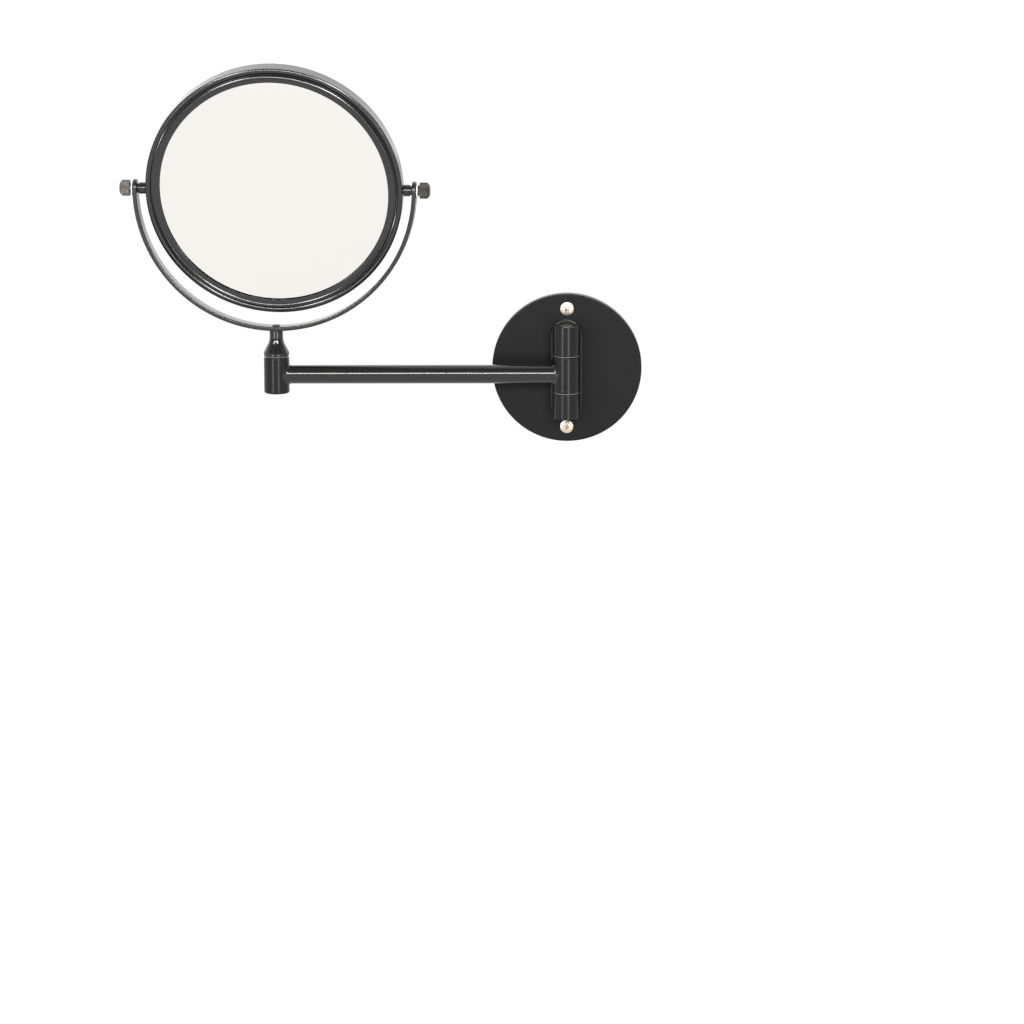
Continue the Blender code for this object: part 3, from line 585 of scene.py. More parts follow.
def silvered(name):
    """Mirror glass with the faintest film of dust."""
    nodes = Nodes(name)
    nodes.shader.inputs["Metallic"].default_value = 1.0
    film = nodes.noise(*MIRROR_FILM)
    nodes.link(nodes.colors(film, *MIRROR_TINTS), nodes.shader.inputs["Base Color"])
    nodes.link(nodes.ramp(film, NOISE_BODY, MIRROR_GLOSS), nodes.shader.inputs["Roughness"])
    return nodes.material


# Black coats: colour, roughness, shine, depth and scale of the peel, unevenness of the gloss
COATS = {
    "plate": ((0.0028, 0.0028, 0.0028), 0.36, 0.175, 0.000012, COARSE_PEEL, 0.05),
    "cast": ((0.0030, 0.0030, 0.0031), 0.23, 0.28, 0.000008, FINE_PEEL, 0.04),
    "gloss": ((0.0040, 0.0037, 0.0036), 0.17, 0.56, 0.000001, FINE_PEEL, 0.02),
    "strip": ((0.0055, 0.0047, 0.0044), 0.26, 0.58, 0.000001, FINE_PEEL, 0.02),
    "rim": ((0.0040, 0.0039, 0.0039), 0.21, 0.64, 0.000001, FINE_PEEL, 0.02),
}
OXIDE = ((0.0060, 0.0060, 0.0060), 0.34, 0.40, 0.000004, COARSE_PEEL, 0.05)

# Knob finishes: the colour and where it is worn, with painted light in both: the left knob is
# painted lighter for the light of the left softbox, and the right one darker.
KNOB_COATS_WITH_PAINTED_LIGHT = {
    "left": ((0.028, 0.024, 0.022), (0.105, 0.089, 0.081)),
    "right": ((0.010, 0.009, 0.008), (0.022, 0.019, 0.017)),
}


def make_materials():
    """Every finish by name."""
    finishes = {name: black_coat(name + "_coat", *look) for name, look in COATS.items()}
    finishes["oxide"] = black_coat("black_oxide", *OXIDE)
    # Each knob has its own copy of the finish, lighter on the left as painted light and darker on
    # the right as painted shade.
    for side, tones in KNOB_COATS_WITH_PAINTED_LIGHT.items():
        finishes["knob_" + side] = knob_coat("knob_coat_painted_light_" + side, *tones)
    finishes["nickel"] = plated("nickel_plate", (0.63, 0.54, 0.45), 0.42)
    finishes["zinc"] = plated("zinc_plate", (0.58, 0.58, 0.60), 0.36)
    finishes["nylon"] = moulded("nylon", (0.74, 0.74, 0.76), 0.42)
    # Painted shade: the seam rings are white nylon, painted dark grey to stand in for the shade in
    # the narrow hinge and swivel seams.
    finishes["grey_nylon"] = moulded("grey_nylon", (0.10, 0.10, 0.11), 0.38)
    finishes["mirror"] = silvered("silvered_glass")
    finishes["spacer"] = moulded("spacer_black", (0.08, 0.08, 0.08), 0.55)
    finishes["foam"] = moulded("foam_grey", (0.24, 0.24, 0.24), 0.9, FOAM_GRAIN)
    return finishes


# ---------------------------------------------------------------- wall mount


def wall_plate(materials):
    """The round plate: rounded rim, relieved back, countersinks and clearance holes."""
    low, high = span("wall_plate", WALL)
    radius = high.x
    front = low.y
    outline = [(0.0, front, 0.0), (radius, front, PLATE_EDGE), (radius, 0.0, TIGHT_EDGE)]
    outline += [(RELIEF_OUTER, 0.0, TIGHT_EDGE), (RELIEF_OUTER, -RELIEF_DEPTH, FINE_EDGE)]
    outline += [(RELIEF_INNER, -RELIEF_DEPTH, FINE_EDGE), (RELIEF_INNER, 0.0, TIGHT_EDGE)]
    outline += [(0.0, 0.0, 0.0)]
    plate = mesh_object("wall_plate_visual", turned(rounded(outline), ROUND, "Y"), WALL)
    for side in ("upper", "lower"):
        screw = "wall_screw_" + side
        wide = span(screw, WALL)[1].x + GAP
        sink = [(0.0, front - CLEAR), (wide + CLEAR, front - CLEAR), (wide, front)]
        sink += [(SCREW_HOLE_RADIUS, front + COUNTERSINK_DEPTH)]
        sink += [(SCREW_HOLE_RADIUS, CLEAR), (0.0, CLEAR)]
        cut(plate, turned(sink, TINY_ROUND, "Y"), (0.0, 0.0, level_of(screw)))
        hole = rod(BRACKET_HOLE_RADIUS, front - CLEAR, CLEAR)
        level = level_of("bracket_screw_" + side)
        cut(plate, turned(hole, TINY_ROUND, "Y"), (0.0, 0.0, level))
    finished(plate, "wall_mount", "wall_plate", materials["plate"])


def cross_recess(screw, top, outward, size, axis):
    """A cross recess with tapered wings. Outward is +1 where the head faces up its axis, or -1."""
    length, width, depth = size
    for wings in ((length, width), (width, length)):
        loops = []
        for share, shrink in RECESS_TAPER:
            x = shrink * wings[0] / 2.0
            y = shrink * wings[1] / 2.0
            height = top - outward * share * depth
            loops.append([(-x, -y, height), (x, -y, height), (x, y, height), (-x, y, height)])
        cutter = loft(loops)
        cutter.transform(TURN[axis])
        cut(screw, cutter)


def wall_screw(side, materials):
    """A raised countersunk screw with a cross recess."""
    node = "wall_screw_" + side
    high = span(node, WALL)[1]
    plate_front = span("wall_plate", WALL)[0].y
    radius = high.x
    sphere = (radius**2 + SCREW_CROWN**2) / (2.0 * SCREW_CROWN)
    steepest = math.degrees(math.asin(radius / sphere))
    crown_end = -90.0 + SCREW_CROWN_SHARE * steepest
    outline = arc((0.0, sphere - SCREW_CROWN), sphere, -90.0, crown_end, CROWN_STEPS)
    outline[0] = (0.0, -SCREW_CROWN)
    end = high.y - plate_front
    outline += [(radius, GAP), (SCREW_SHANK_RADIUS, COUNTERSINK_DEPTH)]
    outline += [(SCREW_SHANK_RADIUS, end), (0.0, end)]
    turn = Matrix.Rotation(math.radians(WALL_SCREW_TURN[side]), 4, "Y")
    place = Matrix.Translation((0.0, plate_front, level_of(node))) @ turn
    screw = mesh_object(node + "_visual", turned(outline, SMALL_ROUND, "Y"), place)
    cross_recess(screw, -SCREW_CROWN, -1.0, WALL_RECESS, "Y")
    finished(screw, "wall_mount", node, materials["nickel"])


def stadium(width, height, y):
    """Points of an upright slot shape at one depth."""
    radius = width / 2.0
    centre = height / 2.0 - radius
    outline = arc((0.0, centre), radius, 0.0, 180.0, SLOT_STEPS)
    outline += arc((0.0, -centre), radius, 180.0, 360.0, SLOT_STEPS)
    return [(x, y, z) for x, z in outline]


def lug_shape(width, height, front, back):
    """The lug with its front edge rounded."""
    loops = [stadium(width, height, back)]
    for index in range(FILLET_STEPS + 2):
        angle = math.radians(90.0 * index / (FILLET_STEPS + 1))
        inset = 2.0 * LUG_EDGE * (1.0 - math.cos(angle))
        depth = front + LUG_EDGE * (1.0 - math.sin(angle))
        loops.append(stadium(width - inset, height - inset, depth))
    return loft(loops)


def web_shape(knuckle_radius, low, high):
    """The casting between a knuckle and the lug, hollowed at both sides by a fillet."""
    to_lug = -LUG_FRONT - HINGE_AXIS.y
    reach = knuckle_radius + CAST_FILLET - SUNK
    centre = (math.sqrt(reach**2 - (to_lug - CAST_FILLET) ** 2), to_lug - CAST_FILLET)
    meeting = math.degrees(math.atan2(centre[1], centre[0])) + 180.0
    side = arc(centre, CAST_FILLET, 90.0, meeting, WEB_STEPS)
    outline = [(centre[0], to_lug + LUG_EDGE)] + side + [(0.0, 0.0)]
    outline += [(-x, y) for x, y in reversed(side)] + [(-centre[0], to_lug + LUG_EDGE)]
    levels = (HINGE_AXIS.z + low, HINGE_AXIS.z + high)
    return loft([[(x, HINGE_AXIS.y + y, level) for x, y in outline] for level in levels])


def wall_bracket(materials):
    """Lug, webs and the two fixed knuckles as one casting, bored for the pin."""
    low, high = span("wall_bracket", WALL)
    top = span("hinge_cap_upper", HINGE)[1].z
    bottom = span("hinge_cap_lower", HINGE)[0].z
    seam_low = span("hinge_washer_lower", HINGE)[0].z - GAP
    seam_high = span("hinge_washer_upper", HINGE)[1].z + GAP
    knuckle_radius = HINGE_AXIS.y - low.y
    lug = lug_shape(2.0 * high.x, 2.0 * high.z, -LUG_FRONT, high.y)
    bracket = mesh_object("wall_bracket_visual", lug, WALL)
    for near, far in ((seam_high, top), (bottom, seam_low)):
        add(bracket, web_shape(knuckle_radius, near + CLEAR, far - CLEAR))
        add(bracket, turned(rod(knuckle_radius, near, far, FINE_EDGE)), HINGE_AXIS)
    bore = [(0.0, bottom - CLEAR), (POCKET_RADIUS, bottom - CLEAR)]
    bore += [(POCKET_RADIUS, bottom + LOWER_POCKET), (PIN_BORE, bottom + LOWER_POCKET)]
    bore += [(PIN_BORE, top - UPPER_POCKET)]
    bore += [(POCKET_RADIUS, top - UPPER_POCKET), (POCKET_RADIUS, top + CLEAR), (0.0, top + CLEAR)]
    cut(bracket, turned(bore), HINGE_AXIS)
    for side in ("upper", "lower"):
        screw = "bracket_screw_" + side
        hole = rod(BRACKET_HOLE_RADIUS, span(screw, WALL)[0].y - GAP, 0.0)
        cut(bracket, turned(hole, TINY_ROUND, "Y"), (0.0, 0.0, level_of(screw)))
    finished(bracket, "wall_mount", "wall_bracket", materials["cast"])


def bracket_screw(side, materials):
    """A socket screw whose head sits in the plate's relief."""
    node = "bracket_screw_" + side
    low, high = span(node, WALL)
    seat = -RELIEF_DEPTH + GAP
    shank = BRACKET_SCREW_RADIUS
    outline = rounded([(0.0, low.y, 0.0), (shank, low.y, FINE_EDGE), (shank, seat, 0.0)])
    head = [(0.0, seat, 0.0), (high.x, seat, TIGHT_EDGE)]
    head += [(high.x, high.y, SOFT_EDGE), (0.0, high.y, 0.0)]
    outline += rounded(head)[1:]
    place = Matrix.Translation((0.0, 0.0, level_of(node)))
    screw = mesh_object(node + "_visual", turned(outline, TINY_ROUND, "Y"), place)
    socket = rod(SOCKET_RADIUS, high.y - SOCKET_DEPTH, high.y + CLEAR)
    cut(screw, turned(socket, HEX_SIDES, "Y"))
    finished(screw, "wall_mount", node, materials["zinc"])


def closing_cap(node, body, place, materials):
    """A pressed disc with a soft rim that closes one end of a barrel."""
    low, high = span(node, place)
    cap = mesh_object(node + "_visual", turned(rod(high.y, low.z, high.z, FINE_EDGE)), place)
    finished(cap, body, node, materials["cast"])


def nylon_ring(node, body, place, axis, material):
    """A thin nylon ring with soft rims, in place of its CAD node."""
    low, high = span(node, place)
    along = "XYZ".index(axis)
    across = high[(along + 1) % 3]
    points = frame["nodes"][node].data.vertices
    inverse = place.inverted()
    inner = min(off_axis(inverse @ point.co, along) for point in points)
    ring = turned(sleeve(inner, across, low[along], high[along], RING_EDGE), SMALL_ROUND, axis)
    finished(mesh_object(node + "_visual", ring, place), body, node, material)


# ---------------------------------------------------------------- arm


def arm_knuckle(materials):
    """The middle knuckle with the spigot that carries the tube."""
    low, high = span("arm_knuckle", ARM)
    outline = sleeve(BUSH_BORE, high.y, low.z, high.z, FINE_EDGE)
    knuckle = mesh_object("arm_knuckle_visual", turned(outline), ARM)
    spigot = rod(SPIGOT_RADIUS, low.x, -(BUSH_BORE + high.y) / 2.0, SOFT_EDGE)
    add(knuckle, turned(spigot, TINY_ROUND, "X"))
    finished(knuckle, "arm", "arm_knuckle", materials["cast"])


def coped_ring(radius, distance, barrel_radius, to_arm):
    """One ring of the tube, following the barrel that it meets at that distance."""
    ring = []
    for index in range(SMALL_ROUND):
        angle = math.tau * index / SMALL_ROUND
        y = radius * math.cos(angle)
        reach = math.sqrt(barrel_radius**2 - y**2) + distance
        ring.append((to_arm(reach), y, radius * math.sin(angle)))
    return ring


def fillet_stations(radius):
    """(radius, distance from the barrel) along a braze fillet, from the barrel outwards."""
    stations = []
    for index in range(FILLET_STEPS + 1):
        angle = math.radians(90.0 * index / FILLET_STEPS)
        swell = BRAZE_FILLET * (1.0 - math.sin(angle))
        stations.append((radius + swell, BRAZE_FILLET * (1.0 - math.cos(angle))))
    return stations


def arm_tube(materials):
    """The round tube, coped and brazed to the barrels at both ends."""
    outer = span("arm_tube", ARM)[1].y
    inner = outer - TUBE_WALL
    knuckle = (span("arm_knuckle", ARM)[1].y, lambda reach: -reach)
    barrel = (span("head_barrel", BARREL)[1].y, lambda reach: reach - ARM_LENGTH)
    fillet = fillet_stations(outer)
    rings = [coped_ring(radius, distance, *knuckle) for radius, distance in fillet]
    rings += [coped_ring(radius, distance, *barrel) for radius, distance in reversed(fillet)]
    rings += [coped_ring(inner, 0.0, *barrel), coped_ring(inner, 0.0, *knuckle)]
    shape = bmesh.new()
    loops = [[shape.verts.new(point) for point in ring] for ring in rings]
    for index, loop in enumerate(loops):
        join_rings(shape, loop, loops[(index + 1) % len(loops)])
    tube = mesh_object("arm_tube_visual", shape, ARM)
    finished(tube, "arm", "arm_tube", materials["gloss"])


def head_barrel(materials):
    """The barrel at the arm's end, with its nut pocket, bore and tube spigot."""
    low, high = span("head_barrel", BARREL)
    pocket = low.z + BARREL_POCKET
    outline = [(BARREL_POCKET_RADIUS, low.z, FINE_EDGE), (high.y, low.z, BARREL_EDGE)]
    outline += [(high.y, high.z, FINE_EDGE)]
    outline += [(SPINDLE_BORE, high.z, TIGHT_EDGE), (SPINDLE_BORE, pocket, 0.0)]
    outline += [(BARREL_POCKET_RADIUS, pocket, 0.0)]
    barrel = mesh_object("head_barrel_visual", turned(rounded(outline)), BARREL)
    spigot = rod(SPIGOT_RADIUS, (BARREL_POCKET_RADIUS + high.y) / 2.0, high.x, SOFT_EDGE)
    add(barrel, turned(spigot, TINY_ROUND, "X"))
    finished(barrel, "arm", "head_barrel", materials["cast"])


# ---------------------------------------------------------------- swivel and yoke


def swivel_neck(materials):
    """The turned neck: spindle, collar, flared waist and the yoke screw's hole."""
    low, high = span("swivel_neck", SWIVEL)
    seat = span("swivel_washer", SWIVEL)[1].z + GAP
    flare_centre = (NECK_RADIUS + FLARE_RADIUS, FLARE_START)
    bend = arc(flare_centre, FLARE_RADIUS, 180.0, 180.0 + FLARE_ANGLE, WAIST_STEPS)
    foot = bend[-1][0] + (bend[-1][1] - NECK_SHOULDER) * math.tan(math.radians(FLARE_ANGLE))
    spindle = [(0.0, low.z, 0.0), (THREAD_RADIUS, low.z, SOFT_EDGE)]
    spindle += [(THREAD_RADIUS, THREAD_TOP, 0.0), (SPINDLE_RADIUS, THREAD_TOP, 0.0)]
    ring = [(0.0, seat, 0.0), (high.y, seat, FINE_EDGE)]
    ring += [(high.y, NECK_SHOULDER, NECK_SHOULDER_EDGE), (foot, NECK_SHOULDER + NECK_STEP, 0.0)]
    top = [(NECK_RADIUS, FLARE_START, 0.0), (NECK_RADIUS, high.z, FINE_EDGE)]
    top += [(YOKE_SCREW_HOLE_RADIUS, high.z, TIGHT_EDGE)]
    top += [(YOKE_SCREW_HOLE_RADIUS, NECK_HOLE_FLOOR, 0.0)]
    outline = rounded(spindle) + [(SPINDLE_RADIUS, seat)] + rounded(ring)[1:] + bend[::-1]
    outline += rounded(top)[1:] + [(0.0, NECK_HOLE_FLOOR)]
    made = mesh_object("swivel_neck_visual", turned(outline), SWIVEL)
    finished(made, "yoke", "swivel_neck", materials["gloss"])


def yoke_rungs(middle, half):
    """(centre, outward direction, half width) along the strip from one tip to the other."""
    tab = []
    for index in range(TAB_STEPS):
        angle = math.radians(TIP_FLAT + (90.0 - TIP_FLAT) * index / TAB_STEPS)
        tab.append((half * math.cos(angle), half * math.sin(angle)))
    rungs = [((-middle, rise), (-1.0, 0.0), width) for rise, width in tab]
    for index in range(YOKE_STEPS + 1):
        angle = math.pi + math.pi * index / YOKE_STEPS
        outward = (math.cos(angle), math.sin(angle))
        rungs.append(((middle * outward[0], middle * outward[1]), outward, half))
    return rungs + [((middle, rise), (1.0, 0.0), width) for rise, width in reversed(tab)]


def yoke_layers(thick):
    """(offset from the strip's mid-surface, inset of its outline) through the thickness."""
    edge = []
    for index in range(FILLET_STEPS + 1):
        angle = math.radians(90.0 * index / FILLET_STEPS)
        offset = thick - YOKE_EDGE * (1.0 - math.cos(angle))
        edge.append((offset, YOKE_EDGE * (1.0 - math.sin(angle))))
    return [(-offset, inset) for offset, inset in edge] + edge[::-1]


def strip_shape(middle, half, thick):
    """A flat strip with rounded ends and softened edges, bent to a half ring."""
    shape = bmesh.new()
    loops = []
    for offset, inset in yoke_layers(thick):
        near = []
        far = []
        for (x, z), (out_x, out_z), width in yoke_rungs(middle, half - inset):
            near.append(shape.verts.new((x + out_x * offset, -width, z + out_z * offset)))
            far.append(shape.verts.new((x + out_x * offset, width, z + out_z * offset)))
        loops.append((near, far))
    for (near, far), (next_near, next_far) in zip(loops, loops[1:]):
        join_rings(shape, near + far[::-1], next_near + next_far[::-1])
    for near, far in (loops[0], loops[-1]):
        for index in range(len(near) - 1):
            shape.faces.new((near[index], near[index + 1], far[index + 1], far[index]))
    return shape


def yoke(materials):
    """The half-ring strip, drilled for both studs and its own screw."""
    high = span("yoke", YOKE)[1]
    outer = high.x
    inner = span("pivot_boss_right", HEAD)[1].x + GAP
    shape = strip_shape((outer + inner) / 2.0, high.y, (outer - inner) / 2.0)
    strip = mesh_object("yoke_visual", shape, YOKE)
    for sign in (-1.0, 1.0):
        ends = sorted((sign * (inner - OVERRUN), sign * (outer + OVERRUN)))
        cut(strip, turned(rod(TAB_HOLE_RADIUS, *ends), TINY_ROUND, "X"))
    hole = rod(YOKE_SCREW_HOLE_RADIUS, -outer - OVERRUN, -inner + OVERRUN)
    cut(strip, turned(hole, TINY_ROUND))
    finished(strip, "yoke", "yoke", materials["strip"])


def yoke_screw(materials):
    """A dark pan-head screw with a cross recess, seated inside the yoke."""
    low, high = span("yoke_screw", YOKE)
    seat = high.z - YOKE_SCREW_HEAD
    top = seat + YOKE_SCREW_CROWN
    shank = YOKE_SCREW_RADIUS
    outline = rounded([(0.0, low.z, 0.0), (shank, low.z, FINE_EDGE), (shank, seat, 0.0)])
    head = [(0.0, seat, 0.0), (high.y, seat, 0.0), (high.y, top, FINE_EDGE), (0.0, top, 0.0)]
    outline += rounded(head)[1:]
    screw = mesh_object("yoke_screw_visual", turned(outline, TINY_ROUND), YOKE)
    cross_recess(screw, top, 1.0, YOKE_SCREW_RECESS, "Z")
    finished(screw, "yoke", "yoke_screw", materials["oxide"])


# ---------------------------------------------------------------- mirror head


def bead_points(middle):
    """Outline of the band's bead, a broad crown between two tight shoulders, from outside in."""
    lean = math.radians(BEAD_SPREAD)
    aside = (BEAD_CROWN - BEAD_SHOULDER) * math.sin(lean)
    centre = BEAD_TOP - BEAD_CROWN
    level = centre + (BEAD_CROWN - BEAD_SHOULDER) * math.cos(lean)
    low = 90.0 - BEAD_SPREAD
    outer = arc((middle + aside, level), BEAD_SHOULDER, 0.0, low, SHOULDER_STEPS)
    broad = arc((middle, centre), BEAD_CROWN, low, 180.0 - low, BEAD_STEPS)
    inner = arc((middle - aside, level), BEAD_SHOULDER, 180.0 - low, 180.0, SHOULDER_STEPS)
    return outer + broad[1:-1] + inner


def crest_points():
    """Outline of the bezel's crest, a narrow ridge between two broad flanks, from outside in."""
    lean = math.radians(CREST_TURN)
    aside = (CREST_FLANK - CREST_RIDGE) * math.sin(lean)
    centre = CREST_HEIGHT - CREST_RIDGE
    level = centre - (CREST_FLANK - CREST_RIDGE) * math.cos(lean)
    low = 90.0 - CREST_STEEPEST
    high = 90.0 - CREST_TURN
    outer = arc((CREST_RADIUS - aside, level), CREST_FLANK, low, high, FLANK_STEPS)
    ridge = arc((CREST_RADIUS, centre), CREST_RIDGE, high, 180.0 - high, RIDGE_STEPS)
    inner = arc((CREST_RADIUS + aside, level), CREST_FLANK, 180.0 - high, 180.0 - low, FLANK_STEPS)
    return outer + ridge[1:-1] + inner


def frame_band(materials):
    """The outer ring with a rolled bead at each edge, drilled for both pivot rivets."""
    radius = span("frame_band", HEAD)[1].x
    inner = BAND_INNER_RADIUS
    bead = bead_points((inner + radius) / 2.0)
    outline = [(r, -y) for r, y in bead] + [(r, y) for r, y in reversed(bead)]
    band = mesh_object("frame_band_visual", turned(outline, ROUND, "Y"), HEAD)
    for sign in (-1.0, 1.0):
        ends = sorted((sign * (inner - OVERRUN), sign * (radius + OVERRUN)))
        cut(band, turned(rod(RIVET_HOLE_RADIUS, *ends), TINY_ROUND, "X"))
    finished(band, "mirror_head", "frame_band", materials["rim"])


def bezel(side, sign, materials):
    """The ring that holds the glass: groove, crest, flat inner band and a thin lip."""
    outer = span(side + "_bezel", HEAD)[1].x
    profile = [(outer, BEZEL_MIDDLE), (outer, BEZEL_GROOVE), (outer - GROOVE_WIDTH, BEZEL_GROOVE)]
    profile += crest_points()
    across, down = LIP_SLOPE
    profile += [(GLASS_VIEW_RADIUS + across, LIP_EDGE), (GLASS_VIEW_RADIUS, LIP_EDGE - down)]
    profile += [(GLASS_VIEW_RADIUS, GLASS_SEAT), (GLASS_SEAT_RADIUS, GLASS_SEAT)]
    profile += [(GLASS_SEAT_RADIUS, BEZEL_MIDDLE)]
    outline = [(r, sign * y) for r, y in profile]
    ring = mesh_object(side + "_bezel_visual", turned(outline, ROUND, "Y"), HEAD)
    finished(ring, "mirror_head", side + "_bezel", materials["rim"])


def front_mirror(materials):
    """The plain glass, its silvered face set back as it is seen through the glass."""
    low, high = span("front_mirror", HEAD)
    disc = turned(rod(high.x, low.y + GLASS_SETBACK, high.y, TIGHT_EDGE), ROUND, "Y")
    glass = mesh_object("front_mirror_visual", disc, HEAD)
    finished(glass, "mirror_head", "front_mirror", materials["mirror"])


def rear_mirror(materials):
    """The magnifying glass: a thin disc dished to a shallow sphere, hollow side out."""
    high = span("rear_mirror", HEAD)[1]
    radius = high.x
    thickness = GLASS_THICKNESS - GLASS_SETBACK
    dish = []
    for index in range(MAGNIFIER_RINGS + 1):
        out = radius * index / MAGNIFIER_RINGS
        rise = (radius**2 - out**2) / (2.0 * MAGNIFIER_CURVE_RADIUS)
        dish.append((out, high.y - GLASS_SETBACK - rise))
    back = [(out, height - thickness) for out, height in reversed(dish)]
    glass = mesh_object("rear_mirror_visual", turned(dish + back, ROUND, "Y"), HEAD)
    finished(glass, "mirror_head", "rear_mirror", materials["mirror"])


# ---------------------------------------------------------------- pivots and knobs


def pivot_boss(side, materials):
    """The boss between the band and the yoke, with its rivet and stud hole."""
    node = "pivot_boss_" + side
    place = OUTWARD[side]
    low, high = span(node, place)
    shoulder = span("frame_band", HEAD)[1].x + GAP
    floor = high.x - STUD_HOLE_DEPTH
    step = high.x - BOSS_COLLAR
    outline = [(0.0, low.x, 0.0), (RIVET_RADIUS, low.x, TIGHT_EDGE), (RIVET_RADIUS, shoulder, 0.0)]
    outline += [(high.y, shoulder, TIGHT_EDGE), (high.y, step, FINE_EDGE)]
    outline += [(BOSS_COLLAR_RADIUS, step, 0.0), (BOSS_COLLAR_RADIUS, high.x, RING_EDGE)]
    outline += [(STUD_HOLE_RADIUS, high.x, TIGHT_EDGE), (STUD_HOLE_RADIUS, floor, 0.0)]
    outline += [(0.0, floor, 0.0)]
    boss = mesh_object(node + "_visual", turned(rounded(outline), TINY_ROUND, "X"), place)
    finished(boss, "mirror_head", node, materials["gloss"])


def knob_stations(radius, length):
    """(height, radius, share of the flutes' depth) from the knob's base to its tip."""
    stations = []
    for index in range(FILLET_STEPS + 1):
        angle = math.radians(90.0 * index / FILLET_STEPS)
        inset = KNOB_EDGE * (1.0 - math.sin(angle))
        stations.append((KNOB_EDGE * (1.0 - math.cos(angle)), radius - inset, math.sin(angle)))
    shoulder = length - KNOB_DOME - KNOB_CHAMFER
    for index in range(CHAMFER_STEPS + 1):
        share = index / CHAMFER_STEPS
        inset = share * KNOB_CHAMFER
        stations.append((shoulder + inset, radius - inset, 1.0 - share))
    for share in DOME_SHARES:
        stations.append((length - KNOB_DOME * share**2, share * (radius - KNOB_CHAMFER), 0.0))
    return stations


def knob(side, materials):
    """A fluted knob: plain neck, scalloped body, chamfered end and a shallow dome."""
    place = OUTWARD[side]
    body = "knob_" + side
    low, high = span(body, place)
    base = low.x + KNOB_NECK
    count = KNOB_FLUTES * FLUTE_POINTS
    loops = []
    for height, radius, share in knob_stations(high.y, high.x - base):
        ring = []
        for index in range(count):
            angle = math.tau * index / count
            wave = abs(math.sin(KNOB_FLUTES * angle / 2.0)) ** FLUTE_POWER
            local = radius - share * FLUTE_DEPTH * wave
            ring.append((local * math.cos(angle), local * math.sin(angle), base + height))
        loops.append(ring)
    shape = loft(loops)
    shape.transform(TURN["X"])
    made = mesh_object(body + "_visual", shape, place)
    neck = rod(KNOB_NECK_RADIUS, low.x, base + CLEAR)
    add(made, turned(neck, TINY_ROUND, "X"))
    hole = rod(STUD_HOLE_RADIUS, low.x - CLEAR, base + KNOB_HOLE_DEPTH)
    cut(made, turned(hole, TINY_ROUND, "X"))
    finished(made, body, body, materials[body])


# ---------------------------------------------------------------- carried-over nodes


def repaint(node, material):
    """Gives a CAD node that stays as it is its finish."""
    mesh = frame["nodes"][node].data
    mesh.materials.clear()
    mesh.materials.append(material)


def repaint_inner_pieces(materials):
    """The pieces that are out of sight keep their CAD shape."""
    zinc = ["hinge_pin", "hinge_spring_washer", "hinge_nut", "swivel_spring_washer", "swivel_nut"]
    zinc += ["pivot_stud_left", "pivot_stud_right"]
    for node in zinc:
        repaint(node, materials["zinc"])
    for side in ("upper", "lower"):
        repaint("arm_bush_" + side, materials["nylon"])
    repaint("glass_spacer", materials["spacer"])
    repaint("backing_pad", materials["foam"])


# ---------------------------------------------------------------- stage, light and camera


def make_floor():
    """A wide floor below the mirror, whose glow makes it the white of the background."""
    shape = bmesh.new()
    cells = FLOOR_CELLS
    bmesh.ops.create_grid(shape, x_segments=cells, y_segments=cells, size=FLOOR_SIZE)
    place = Matrix.Translation((0.0, 0.0, CAD_BOX[0].z - FLOOR_DROP))
    floor = mesh_object("floor", shape, place)
    nodes = Nodes("floor_white")
    tone = nodes.colors(nodes.noise(*FLOOR_TONE), *FLOOR_TINTS)
    nodes.link(tone, nodes.shader.inputs["Base Color"])
    nodes.shader.inputs["Roughness"].default_value = FLOOR_ROUGHNESS
    nodes.shader.inputs["Specular IOR Level"].default_value = FLOOR_SHINE
    nodes.shader.inputs["Emission Color"].default_value = (1.0, 1.0, 1.0, 1.0)
    nodes.shader.inputs["Emission Strength"].default_value = FLOOR_GLOW
    floor.data.materials.append(nodes.material)


def make_light(name, azimuth, elevation, size, radiance):
    """A rectangular light that faces the middle of the mirror, hidden from the camera."""
    lamp = bpy.data.lights.new(name, "AREA")
    lamp.shape = "RECTANGLE"
    lamp.size = size[0]
    lamp.size_y = size[1]
    lamp.energy = radiance * math.pi * size[0] * size[1]
    made = bpy.data.objects.new(name, lamp)
    bpy.context.scene.collection.objects.link(made)
    made.visible_camera = False
    target = (CAD_BOX[0] + CAD_BOX[1]) / 2.0
    aside = math.radians(azimuth)
    up = math.radians(elevation)
    level = math.cos(up)
    direction = Vector((math.sin(aside) * level, -math.cos(aside) * level, math.sin(up)))
    made.location = target + LIGHT_DISTANCE * direction
    made.rotation_euler = direction.to_track_quat("Z", "Y").to_euler()


def make_lights():
    """Two softboxes, a bank above the camera and two low reflector boards."""
    for side, azimuth in SIDE_AZIMUTH.items():
        make_light("softbox_" + side, azimuth, SOFTBOX_ELEVATION, SOFTBOX_SIZE, SOFTBOX_RADIANCE)
        make_light("board_" + side, azimuth, BOARD_ELEVATION, BOARD_SIZE, BOARD_RADIANCE)
    make_light("bank_above_camera", BANK_AZIMUTH, BANK_ELEVATION, BANK_SIZE, BANK_RADIANCE)


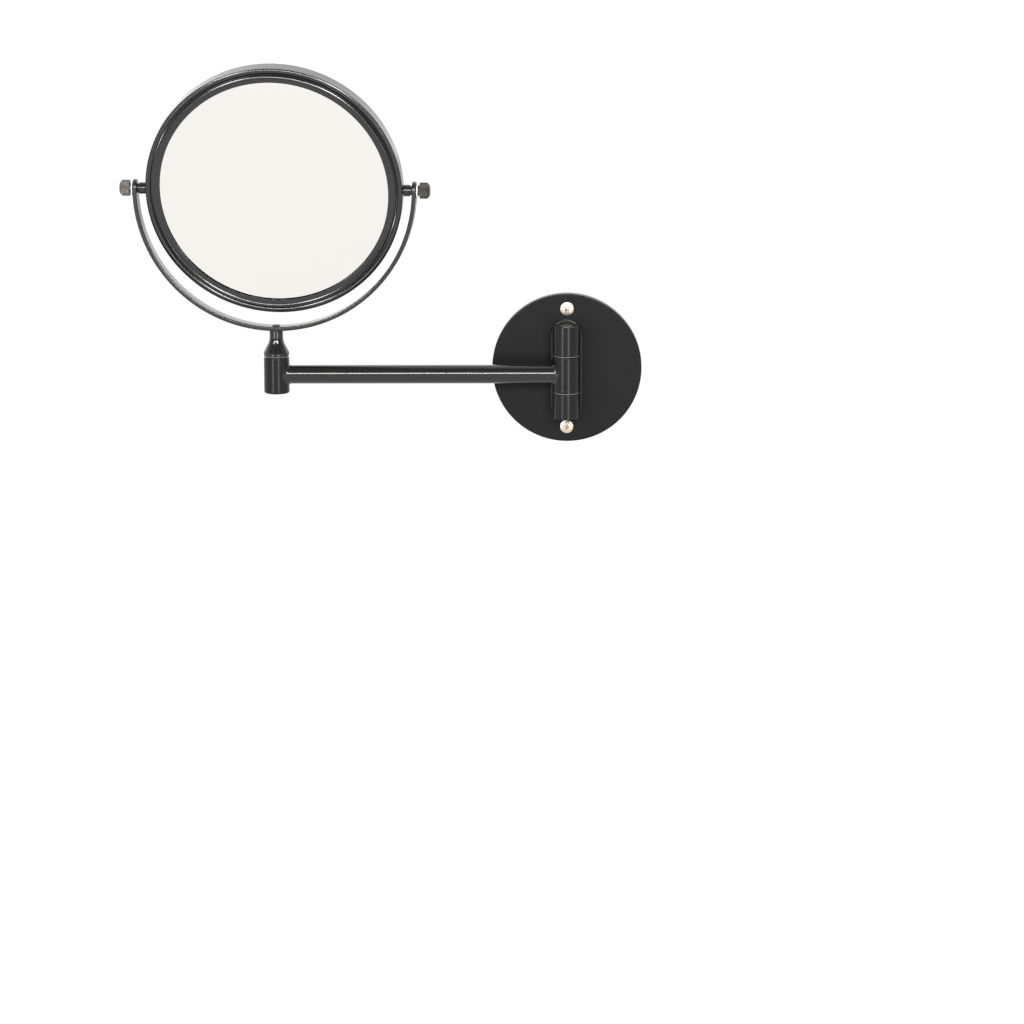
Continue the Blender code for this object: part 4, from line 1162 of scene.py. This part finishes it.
def make_world():
    """White surroundings, brighter behind the mirror than on the camera's side."""
    world = bpy.data.worlds.new("studio")
    bpy.context.scene.world = world
    world.use_nodes = True
    tree = world.node_tree
    background = tree.nodes["Background"]
    direction = tree.nodes.new("ShaderNodeTexCoord")
    split = tree.nodes.new("ShaderNodeSeparateXYZ")
    level = tree.nodes.new("ShaderNodeMapRange")
    level.inputs["From Min"].default_value = WORLD_DEPTHS[0]
    level.inputs["From Max"].default_value = WORLD_DEPTHS[1]
    level.inputs["To Min"].default_value = WORLD_FRONT
    level.inputs["To Max"].default_value = WORLD_BACK
    tree.links.new(direction.outputs["Generated"], split.inputs["Vector"])
    tree.links.new(split.outputs["Y"], level.inputs["Value"])
    tree.links.new(level.outputs["Result"], background.inputs["Strength"])
    background.inputs["Color"].default_value = (1.0, 1.0, 1.0, 1.0)


def make_camera():
    """The camera, in front of the mirror and a little above it."""
    data = bpy.data.cameras.new("camera")
    data.lens = CAMERA_LENS
    data.sensor_width = CAMERA_SENSOR
    data.clip_end = CAMERA_REACH
    made = bpy.data.objects.new("camera", data)
    bpy.context.scene.collection.objects.link(made)
    made.location = CAMERA_PLACE
    made.rotation_euler = (math.radians(90.0 - CAMERA_PITCH), 0.0, math.radians(CAMERA_YAW))
    bpy.context.scene.camera = made


# ---------------------------------------------------------------- assembly


def build_wall_mount(materials):
    """Everything that stays on the wall."""
    wall_plate(materials)
    wall_bracket(materials)
    # The hinge seam rings use nylon painted dark as shade in the seams.
    grey = materials["grey_nylon"]
    for side in ("upper", "lower"):
        wall_screw(side, materials)
        bracket_screw(side, materials)
        closing_cap("hinge_cap_" + side, "wall_mount", HINGE, materials)
        nylon_ring("hinge_washer_" + side, "wall_mount", HINGE, "Z", grey)


def build_arm(materials):
    """Everything that swings on the hinge pin."""
    arm_knuckle(materials)
    arm_tube(materials)
    head_barrel(materials)
    closing_cap("barrel_cap", "arm", BARREL, materials)


def build_yoke(materials):
    """Everything that swivels on the barrel."""
    swivel_neck(materials)
    # The swivel seam ring uses nylon painted dark as shade in the seam.
    nylon_ring("swivel_washer", "yoke", SWIVEL, "Z", materials["grey_nylon"])
    yoke(materials)
    yoke_screw(materials)


def build_head(materials):
    """The tilting head and the knobs that clamp it."""
    frame_band(materials)
    bezel("front", -1.0, materials)
    bezel("rear", 1.0, materials)
    front_mirror(materials)
    rear_mirror(materials)
    for side in ("left", "right"):
        pivot_boss(side, materials)
        washer = "pivot_washer_" + side
        nylon_ring(washer, "knob_" + side, OUTWARD[side], "X", materials["nylon"])
        knob(side, materials)


def write_sizes():
    """Brings the scene's evaluated state up to date."""
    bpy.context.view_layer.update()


bpy.context.scene.view_settings.view_transform = "Standard"
all_finishes = make_materials()
build_wall_mount(all_finishes)
build_arm(all_finishes)
build_yoke(all_finishes)
build_head(all_finishes)
repaint_inner_pieces(all_finishes)
make_floor()
make_lights()
make_world()
make_camera()
write_sizes()
